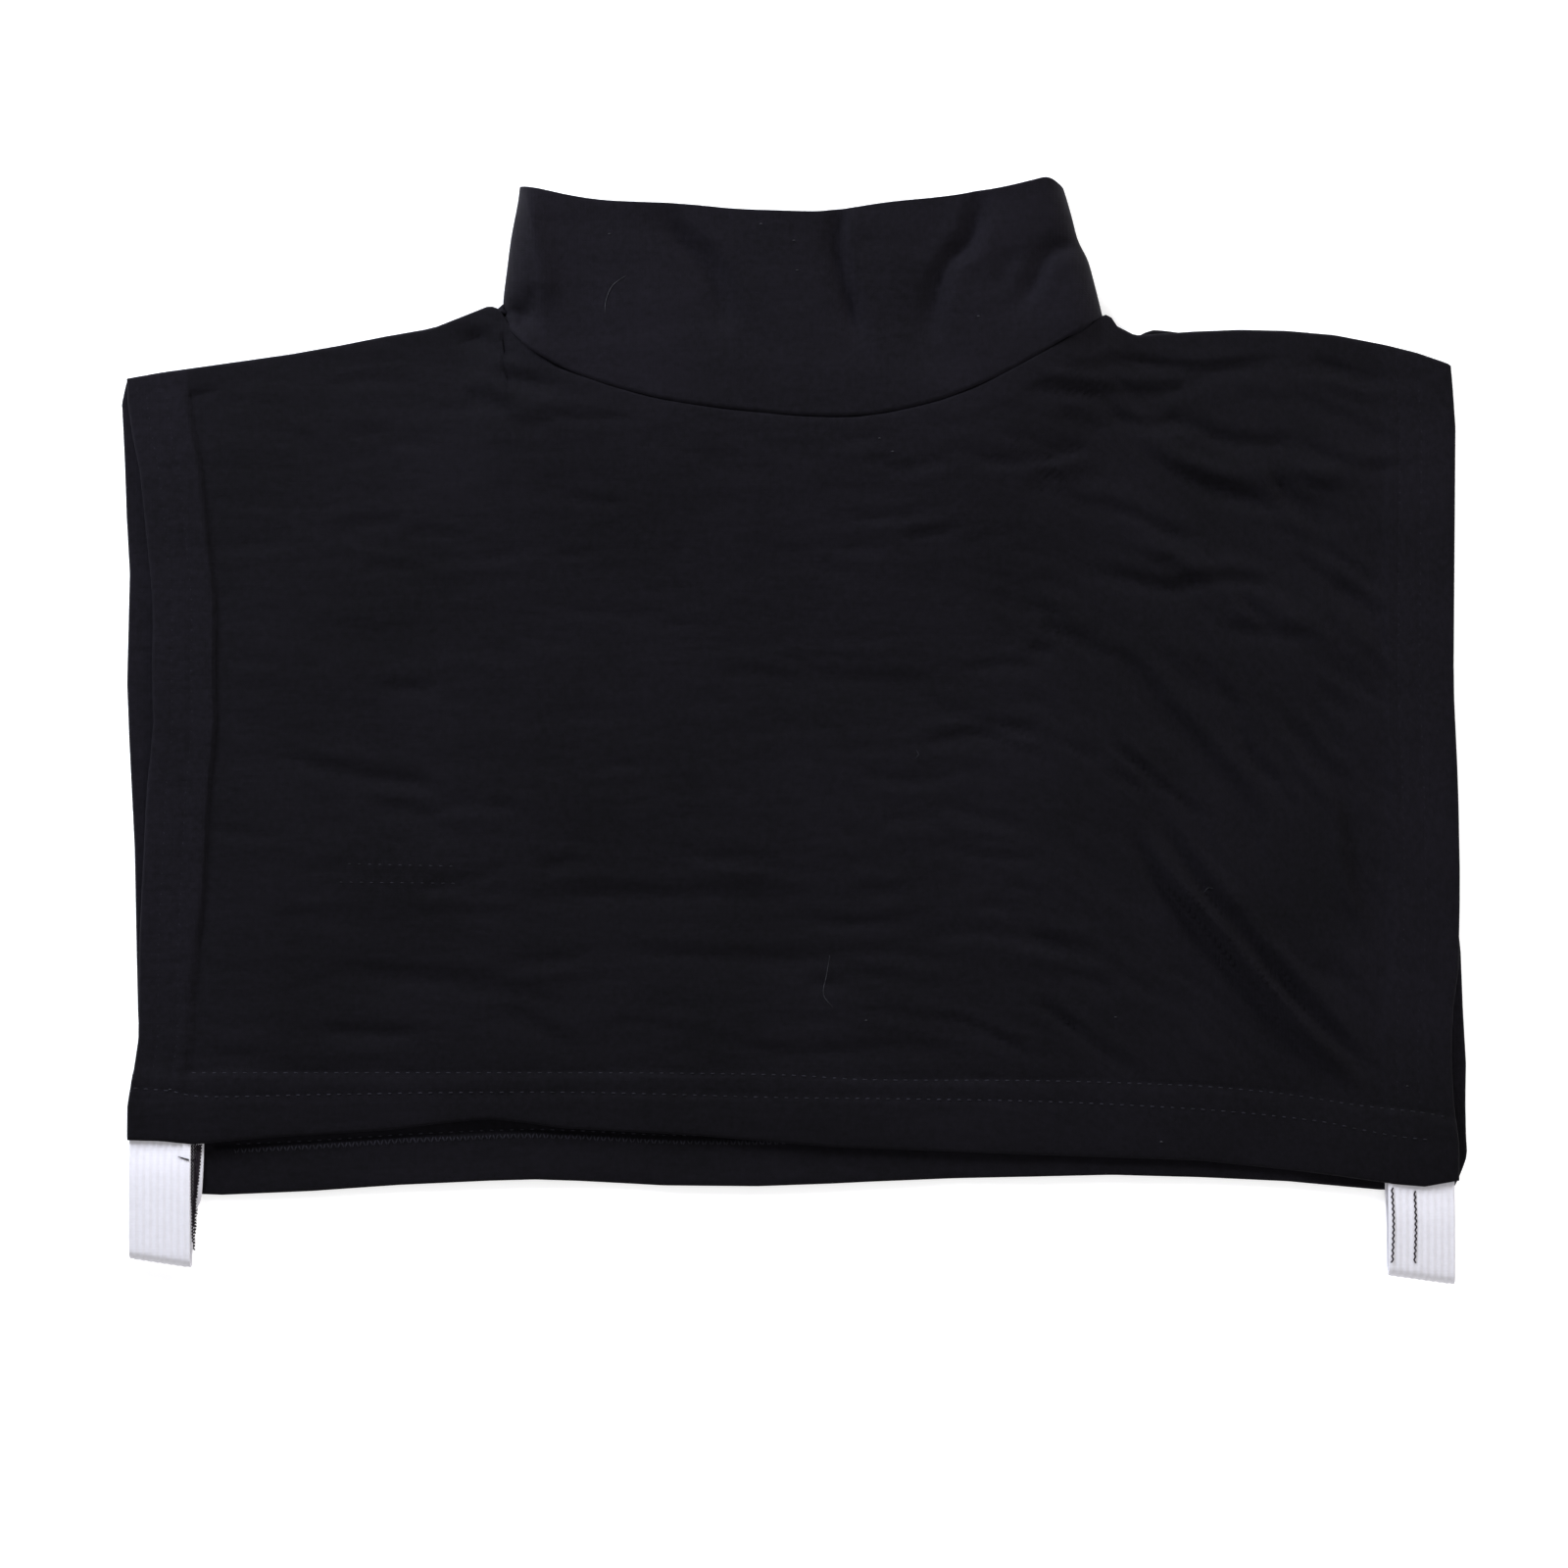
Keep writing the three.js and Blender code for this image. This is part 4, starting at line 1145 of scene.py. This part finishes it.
# Five close zigzags of dark thread inside the left loop, widest at the top, that make the wedge between
# its layers dark
WEB_ROWS = [
    [(-183.5, -126), (-183.6, -143), (-183.5, -158)],
    [(-182.8, -126), (-182.9, -139), (-183.2, -153)],
    [(-182.1, -126), (-182.3, -135), (-182.8, -147)],
    [(-181.5, -126), (-181.8, -133), (-182.3, -142)],
    [(-180.9, -126), (-181.3, -131), (-181.9, -138)],
]
INSIDE_LOOP = 4.5 * MM


def zigzag(path, pitch, wide):
    """Spots for threads that swing from side to side of a path."""
    for number, (x, y, turn) in enumerate(evenly_along(path, pitch)):
        lean = math.atan2(wide, pitch) * (1 if number % 2 else -1)
        yield x, y, turn + lean


def straight(points):
    """A path given in millimetres, in metres."""
    return np.array(points, float) * MM


def zigzags(rows, pitch, wide):
    """Spots for several zigzags whose paths are given in millimetres."""
    return [spot for row in rows for spot in zigzag(rounded_path(straight(row)), pitch, wide)]


short_spots = [spot for row in SHORT_ROWS for spot in evenly_along(straight(row), STITCH_PITCH)]
short_stitches = sew("short_row_stitches", short_spots, front, 63, lift=-0.1 * MM)

looper = row_beside(back_sides, "bottom", BACK_ROW, start=0.06, end=0.94)
looper_threads = sew("back_looper_threads", zigzag(looper, 1.1 * MM, 2.4 * MM), back, 64, length=1.4)
back_spots = evenly_along(looper + (0, BACK_ROW_UP), STITCH_PITCH)
back_stitches = sew("back_hem_stitches", back_spots, back, 67)

strap_spots = zigzags(STRAP_ROWS, 0.9 * MM, 0.55 * MM)
strap_stitches = sew("strap_right_stitches", strap_spots, strap_right, 65, lift=0.2 * MM)
web_spots = zigzags(WEB_ROWS, 0.5 * MM, 0.5 * MM)
web_stitches = sew("strap_left_stitches", web_spots, strap_left, 66, start=INSIDE_LOOP, length=0.9)

# %% [markdown]
# ## Loose thread and lint
#
# Black jersey catches lint. Each fibre is a thin tube swept along a short curved path a hair above the
# cloth, and the specks are shorter pieces of the same. A loose end of black sewing thread lies over the
# left loop.

# %% Sweep thin tubes for fibres
ROUND = ((1, 0), (0, 1), (-1, 0), (0, -1))
BLUNT_END = 0.15


def fibre_points(path, radius, ground, lift):
    """Rings of four points round a path that lies on the ground."""
    tree = drop_tree(ground)
    path = rounded_path(path, 4)
    heights = np.array([landing(tree, x, y) for x, y in path]) + radius + lift
    along_path = np.gradient(path, axis=0)
    across = np.column_stack([-along_path[:, 1], along_path[:, 0]])
    across /= np.linalg.norm(across, axis=1)[:, None]
    taper = np.sin(np.linspace(BLUNT_END, math.pi - BLUNT_END, len(path))) ** 0.5 * radius
    ring = [
        np.column_stack([path + across * (taper * side)[:, None], heights + taper * up])
        for side, up in ROUND
    ]
    return np.stack(ring, 1)


def fibres(name, rows, ground):
    """Join several fibres into one piece. Each row is a radius, a lift and the points of a path."""
    points, faces = [], []
    for radius, lift, path in rows:
        rings = fibre_points(straight(path), radius * MM, ground, lift * MM)
        first = sum(len(p) for p in points)
        last = first + 4 * (len(rings) - 1)
        for a in range(first, last, 4):
            faces += [(a + k, a + 4 + k, a + 4 + (k + 1) % 4, a + (k + 1) % 4) for k in range(4)]
        faces += [(first, first + 1, first + 2, first + 3), (last + 3, last + 2, last + 1, last)]
        points.append(rings.reshape(-1, 3))
    piece = new_piece(name, points, faces)
    open_whole(piece)
    bpy.ops.mesh.normals_make_consistent(inside=False)
    close_edit()
    print(name, "has", len(rows), "fibres")
    return piece


SPECK_RADIUS = 0.16
SPECK_LIFT = 0.02
SPECK_REACH = 0.4
SPECK_BOW = 0.12
SPECKS = [
    (-10, 111), (-45, 105), (26, 89), (30, 85), (22, -88), (98, -87), (187, -108), (112, -125),
    (-190, -109),
]
COLLAR_SPECKS = [(-10, 154), (0, 149), (1, 140), (-56, 151), (56, 126)]
FRONT_FIBRES = [
    # radius, lift, path
    (0.07, 0.05, [(11, -68), (10, -74), (9, -80), (12, -84)]),
    (0.06, 0.05, [(37, -8), (38, -7), (37.4, -5.6)]),
    (0.06, 0.05, [(125, -49), (126.4, -47.6), (128, -47.8)]),
]
COLLAR_FIBRES = [(0.09, 0.05, [(-51, 138.4), (-55, 135.4), (-57, 131), (-57.4, 127)])]
THREAD_END = [(0.22, 0.1, [(-187.6, -129.4), (-184.4, -130.4), (-181, -131.3)])]


def speck_rows(places):
    """Rows for specks at places, as in the tables of fibres."""
    return [
        (SPECK_RADIUS, SPECK_LIFT, [(x - SPECK_REACH, y), (x, y + SPECK_BOW), (x + SPECK_REACH, y)])
        for x, y in places
    ]


front_lint = fibres("front_lint", FRONT_FIBRES + speck_rows(SPECKS), front)
collar_lint = fibres("collar_lint", COLLAR_FIBRES + speck_rows(COLLAR_SPECKS), collar)
thread_end = fibres("loose_thread", THREAD_END, strap_left)

# %% [markdown]
# ## The knit, the tone and the rumples, as groups of nodes
#
# Jersey is knitted in columns of small V shapes, called wales, a little under a millimetre apart. The
# knit group gives a height for those shapes. The tone group gives a factor that varies the color a
# little, and a fine fuzz. The rumple group gives the height of the faintest wrinkles, stretched the way
# that the cloth is pulled: they bend down to the right of a start. All the jersey shares the groups, and
# the heights feed a Bump node.

# %% Build the groups
LEG_SLANT = 1.6
TONE_SCALES = (22, 650)
TONE_SHARES = (0.45, 0.55)
TONE_RANGE = (0.35, 0.65)
FUZZ_SCALE = 2600
BEND_START = 50 * MM
RUMPLE_LENGTH = 24 * MM
RUMPLE_SPACING = 6 * MM


def new_group(name, inputs, outputs):
    """An empty shader group with float or vector sockets."""
    group = bpy.data.node_groups.new(name, "ShaderNodeTree")
    for socket, kind in inputs:
        group.interface.new_socket(socket, in_out="INPUT", socket_type=kind)
    for socket, kind in outputs:
        group.interface.new_socket(socket, in_out="OUTPUT", socket_type=kind)
    return group, group.nodes.new("NodeGroupInput"), group.nodes.new("NodeGroupOutput")


def math_node(tree, operation, *values):
    """A Math node fed by sockets or numbers, and its output."""
    node = tree.nodes.new("ShaderNodeMath")
    node.operation = operation
    for socket, value in zip(node.inputs, values):
        if isinstance(value, (int, float)):
            socket.default_value = value
        else:
            tree.links.new(value, socket)
    return node.outputs[0]


def noise_node(tree, vector, scale, detail):
    """A Noise node over a vector, and its output."""
    node = tree.nodes.new("ShaderNodeTexNoise")
    node.inputs["Scale"].default_value = scale
    node.inputs["Detail"].default_value = detail
    tree.links.new(vector, node.inputs["Vector"])
    return node.outputs["Fac"]


def flat_place(tree, vector):
    """The x and y of a vector."""
    split = tree.nodes.new("ShaderNodeSeparateXYZ")
    tree.links.new(vector, split.inputs[0])
    return split.outputs["X"], split.outputs["Y"]


def build_knit():
    group, given, result = new_group(
        "knit",
        [("Vector", "NodeSocketVector"), ("Wale", "NodeSocketFloat"), ("Course", "NodeSocketFloat")],
        [("Height", "NodeSocketFloat")],
    )
    calc = partial(math_node, group)
    x, y = flat_place(group, given.outputs["Vector"])
    across = calc("DIVIDE", x, given.outputs["Wale"])
    in_wale = calc("ABSOLUTE", calc("SUBTRACT", calc("FRACT", across), 0.5))
    rows = calc("DIVIDE", y, given.outputs["Course"])
    slanted = calc("FRACT", calc("ADD", rows, calc("MULTIPLY", in_wale, LEG_SLANT)))
    loop = calc("SINE", calc("MULTIPLY", slanted, math.pi))
    leg = calc("SINE", calc("MULTIPLY", in_wale, math.tau))
    height = calc("MULTIPLY", calc("MULTIPLY_ADD", loop, 0.6, 0.4), leg)
    group.links.new(height, result.inputs["Height"])
    return group


def build_tone():
    group, given, result = new_group(
        "tone",
        [("Vector", "NodeSocketVector"), ("Low", "NodeSocketFloat"), ("High", "NodeSocketFloat")],
        [("Factor", "NodeSocketFloat"), ("Fuzz", "NodeSocketFloat")],
    )
    calc = partial(math_node, group)
    broad, fine = (
        calc("MULTIPLY", noise_node(group, given.outputs["Vector"], scale, 3), share)
        for scale, share in zip(TONE_SCALES, TONE_SHARES)
    )
    scaled = group.nodes.new("ShaderNodeMapRange")
    group.links.new(calc("ADD", broad, fine), scaled.inputs["Value"])
    scaled.inputs["From Min"].default_value, scaled.inputs["From Max"].default_value = TONE_RANGE
    group.links.new(given.outputs["Low"], scaled.inputs["To Min"])
    group.links.new(given.outputs["High"], scaled.inputs["To Max"])
    group.links.new(scaled.outputs["Result"], result.inputs["Factor"])
    fuzz = noise_node(group, given.outputs["Vector"], FUZZ_SCALE, 2)
    group.links.new(fuzz, result.inputs["Fuzz"])
    return group


def build_rumple():
    group, given, result = new_group(
        "rumple",
        [("Vector", "NodeSocketVector"), ("Bend", "NodeSocketFloat")],
        [("Height", "NodeSocketFloat")],
    )
    calc = partial(math_node, group)
    x, y = flat_place(group, given.outputs["Vector"])
    past = calc("MAXIMUM", calc("SUBTRACT", x, BEND_START), 0.0)
    drop = calc("MULTIPLY", calc("POWER", past, 2.0), given.outputs["Bend"])
    place = group.nodes.new("ShaderNodeCombineXYZ")
    group.links.new(calc("DIVIDE", x, RUMPLE_LENGTH), place.inputs["X"])
    group.links.new(calc("DIVIDE", calc("ADD", y, drop), RUMPLE_SPACING), place.inputs["Y"])
    group.links.new(noise_node(group, place.outputs[0], 1.0, 3.0), result.inputs["Height"])
    return group


knit = build_knit()
tone = build_tone()
rumple = build_rumple()
print("node groups:", [group.name for group in bpy.data.node_groups])

# %% [markdown]
# ## The materials
#
# Black jersey is matt, but not pure black: the fuzz on it scatters a little cool light at a low angle,
# which is the shader's sheen. The collar, the neck and the side hems are a little paler, which is painted
# light: the collar has a paler black, and the bibs' meshes keep a value that makes them paler. The
# elastic is a cool white with fine cross threads over its ribs. Sewing thread is smoother than jersey,
# so it is a bit lighter.

# %% Make the materials
SHEEN_ROUGHNESS = 0.45
SHEEN_TINT = (0.75, 0.74, 0.9, 1)
BLACK_JERSEY = (0.0027, 0.0023, 0.0037)
# How much paler the jersey is made where light is painted on
PAINTED_LIGHT_GAIN = 1.45
# The collar's black is made paler all over: painted light.
PAINTED_LIGHT_JERSEY = tuple(PAINTED_LIGHT_GAIN * share for share in BLACK_JERSEY)
WALE = 0.85 * MM
COURSE = 0.7 * MM
KNIT_DEPTH = 0.08 * MM
CROSS_THREAD = 0.43982 * MM
# Radians that the bands of a Wave node turn through in a metre, at a scale of 1
WAVE_TURN = 20


def new_material(name, color, roughness, specular, sheen=0.0):
    """A material with its plain values set, and the parts that a finish is wired to."""
    material = bpy.data.materials.new(name)
    material.use_nodes = True
    material.diffuse_color = (*color, 1)
    tree = material.node_tree
    shader = tree.nodes["Principled BSDF"]
    shader.inputs["Roughness"].default_value = roughness
    shader.inputs["Specular IOR Level"].default_value = specular
    shader.inputs["Sheen Weight"].default_value = sheen
    shader.inputs["Sheen Roughness"].default_value = SHEEN_ROUGHNESS
    shader.inputs["Sheen Tint"].default_value = SHEEN_TINT
    place = tree.nodes.new("ShaderNodeTexCoord").outputs["Object"]
    return material, tree, shader, place


def add_group(tree, group, vector, **values):
    """Place a node group in a material with its own values."""
    node = tree.nodes.new("ShaderNodeGroup")
    node.node_tree = group
    tree.links.new(vector, node.inputs["Vector"])
    for socket, value in values.items():
        node.inputs[socket].default_value = value
    return node


def tint(tree, shader, color, factor):
    """Multiply a color by a factor that changes over the surface, as the base color."""
    mix = tree.nodes.new("ShaderNodeVectorMath")
    mix.operation = "SCALE"
    mix.inputs[0].default_value = color
    tree.links.new(factor, mix.inputs["Scale"])
    tree.links.new(mix.outputs[0], shader.inputs["Base Color"])


def bump(tree, shader, height, distance, strength=1.0):
    """Turn a height into a bumpy surface."""
    node = tree.nodes.new("ShaderNodeBump")
    node.inputs["Distance"].default_value = distance
    node.inputs["Strength"].default_value = strength
    tree.links.new(height, node.inputs["Height"])
    tree.links.new(node.outputs["Normal"], shader.inputs["Normal"])


def jersey(name, color, rumpled, bend):
    material, tree, shader, place = new_material(name, color, 0.85, specular=0.08, sheen=0.012)
    tones = add_group(tree, tone, place, Low=0.6, High=1.4)
    loops = add_group(tree, knit, place, Wale=WALE, Course=COURSE)
    waves = add_group(tree, rumple, place, Bend=bend)
    # The stored value paints light: it makes the base color paler.
    painted_light = tree.nodes.new("ShaderNodeAttribute")
    painted_light.attribute_name = "painted_light"
    paler = math_node(tree, "MULTIPLY_ADD", painted_light.outputs["Fac"], PAINTED_LIGHT_GAIN - 1, 1.0)
    tint(tree, shader, color, math_node(tree, "MULTIPLY", tones.outputs["Factor"], paler))
    fine = math_node(tree, "MULTIPLY_ADD", tones.outputs["Fuzz"], 0.5, loops.outputs["Height"])
    fine = math_node(tree, "MULTIPLY", fine, KNIT_DEPTH)
    height = math_node(tree, "MULTIPLY_ADD", waves.outputs["Height"], rumpled, fine)
    bump(tree, shader, height, 1.0)
    return material


def ribbed_elastic(name, color):
    material, tree, shader, place = new_material(name, color, 0.75, specular=0.3)
    tones = add_group(tree, tone, place, Low=0.95, High=1.03)
    wave = tree.nodes.new("ShaderNodeTexWave")
    wave.bands_direction = "Y"
    wave.inputs["Scale"].default_value = math.tau / WAVE_TURN / CROSS_THREAD
    wave.inputs["Distortion"].default_value = 0.6
    tree.links.new(place, wave.inputs["Vector"])
    tint(tree, shader, color, tones.outputs["Factor"])
    height = math_node(tree, "MULTIPLY_ADD", tones.outputs["Fuzz"], 0.4, wave.outputs["Fac"])
    bump(tree, shader, height, 0.06 * MM, 0.6)
    return material


def sewing_thread(name, color, roughness):
    material, tree, shader, place = new_material(name, color, roughness, specular=0.15)
    tones = add_group(tree, tone, place, Low=0.4, High=1.6)
    tint(tree, shader, color, tones.outputs["Factor"])
    bump(tree, shader, tones.outputs["Fuzz"], 0.05 * MM, 0.5)
    return material


jersey_bibs = jersey("jersey_bibs", BLACK_JERSEY, rumpled=0.6 * MM, bend=7.5)
# The collar gets the paler black, which is painted light on it.
jersey_collar = jersey("jersey_collar", PAINTED_LIGHT_JERSEY, rumpled=0.5 * MM, bend=0.0)
elastic_white = ribbed_elastic("elastic_white", (0.585, 0.575, 0.612))
thread_black = sewing_thread("thread_black", (0.008, 0.0076, 0.0115), 0.7)
thread_dark = sewing_thread("thread_on_elastic", (0.012, 0.008, 0.012), 0.6)
lint_grey = sewing_thread("lint_grey", (0.028, 0.028, 0.032), 0.8)
for material, pieces in {
    jersey_bibs: [front, back],
    jersey_collar: [collar],
    elastic_white: [strap_left, strap_right],
    thread_black: [bottom_stitches, side_stitches, short_stitches, back_stitches, looper_threads],
    thread_dark: [strap_stitches, web_stitches, thread_end],
    lint_grey: [front_lint, collar_lint],
}.items():
    for piece in pieces:
        piece.data.materials.append(material)
print("materials:", [material.name for material in bpy.data.materials if material.users])

# %% [markdown]
# ## Floor and light
#
# The garment lies on a plain white floor that glows a little, as a light table does, so hardly a shadow
# shows beside it. Seen from above, a soft window at the upper left gives the folds their shape. A weaker
# lamp at the upper right, a fill past the lower edge and a pale room lighten the shadows. The plain view
# transform keeps white white.

# %% Add the floor and the lights
FLOOR_SIZE = 6.0
PAPER = (0.95, 0.95, 0.95)
GLOW = 0.35
UNDER_CLOTH = 0.05 * MM
ROOM_GLOW = 0.37

bpy.ops.object.select_all(action="DESELECT")
bpy.ops.mesh.primitive_plane_add(size=FLOOR_SIZE, location=(0, 0, -UNDER_CLOTH))
floor = bpy.context.object
floor.name = "floor"
floor_paint, _, floor_shader, _ = new_material("floor_paper", PAPER, 0.9, specular=0.1)
floor_shader.inputs["Base Color"].default_value = (*PAPER, 1)
floor_shader.inputs["Emission Color"].default_value = (1, 1, 1, 1)
floor_shader.inputs["Emission Strength"].default_value = GLOW
floor.data.materials.append(floor_paint)


def soft_light(name, place, size, power, color):
    """A large square light that faces the middle of the garment."""
    data = bpy.data.lights.new(name, "AREA")
    data.size = size
    data.energy = power
    data.color = color
    light = link(bpy.data.objects.new(name, data))
    light.location = place
    light.rotation_euler = (-Vector(place)).to_track_quat("-Z", "Y").to_euler()


soft_light("window", (-0.65, 0.75, 0.46), 0.45, 20.5, (0.86, 0.9, 1))
soft_light("lamp", (0.75, 0.7, 0.46), 0.5, 8, (1, 0.98, 0.96))
soft_light("fill", (0.2, -1.0, 1.2), 1.2, 10, (1, 0.98, 0.97))
world = bpy.data.worlds.new("pale_room")
world.use_nodes = True
world.node_tree.nodes["Background"].inputs["Color"].default_value = (0.97, 0.98, 1, 1)
world.node_tree.nodes["Background"].inputs["Strength"].default_value = ROOM_GLOW
bpy.context.scene.world = world
bpy.context.scene.view_settings.view_transform = "Standard"
print("lights:", len(bpy.data.lights))

# %% [markdown]
# ## What stands for what
#
# Each soft piece stands for one solid, and all of them ride on the one body. The bibs were cut with
# their hems and seams, and the collar's piece was cut twice as tall as it shows, because it is folded in
# half.

STANDS_FOR = {
    "front_panel": front,
    "back_panel": back,
    "collar": collar,
    "strap_left": strap_left,
    "strap_right": strap_right,
}
for node, piece in STANDS_FOR.items():
    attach(piece, "root")
    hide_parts(node)
details = [
    bottom_stitches, side_stitches, short_stitches, back_stitches, looper_threads,
    strap_stitches, web_stitches, front_lint, collar_lint, thread_end,
]
for piece in details:
    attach(piece, "root")
bpy.data.objects.remove(stitch)
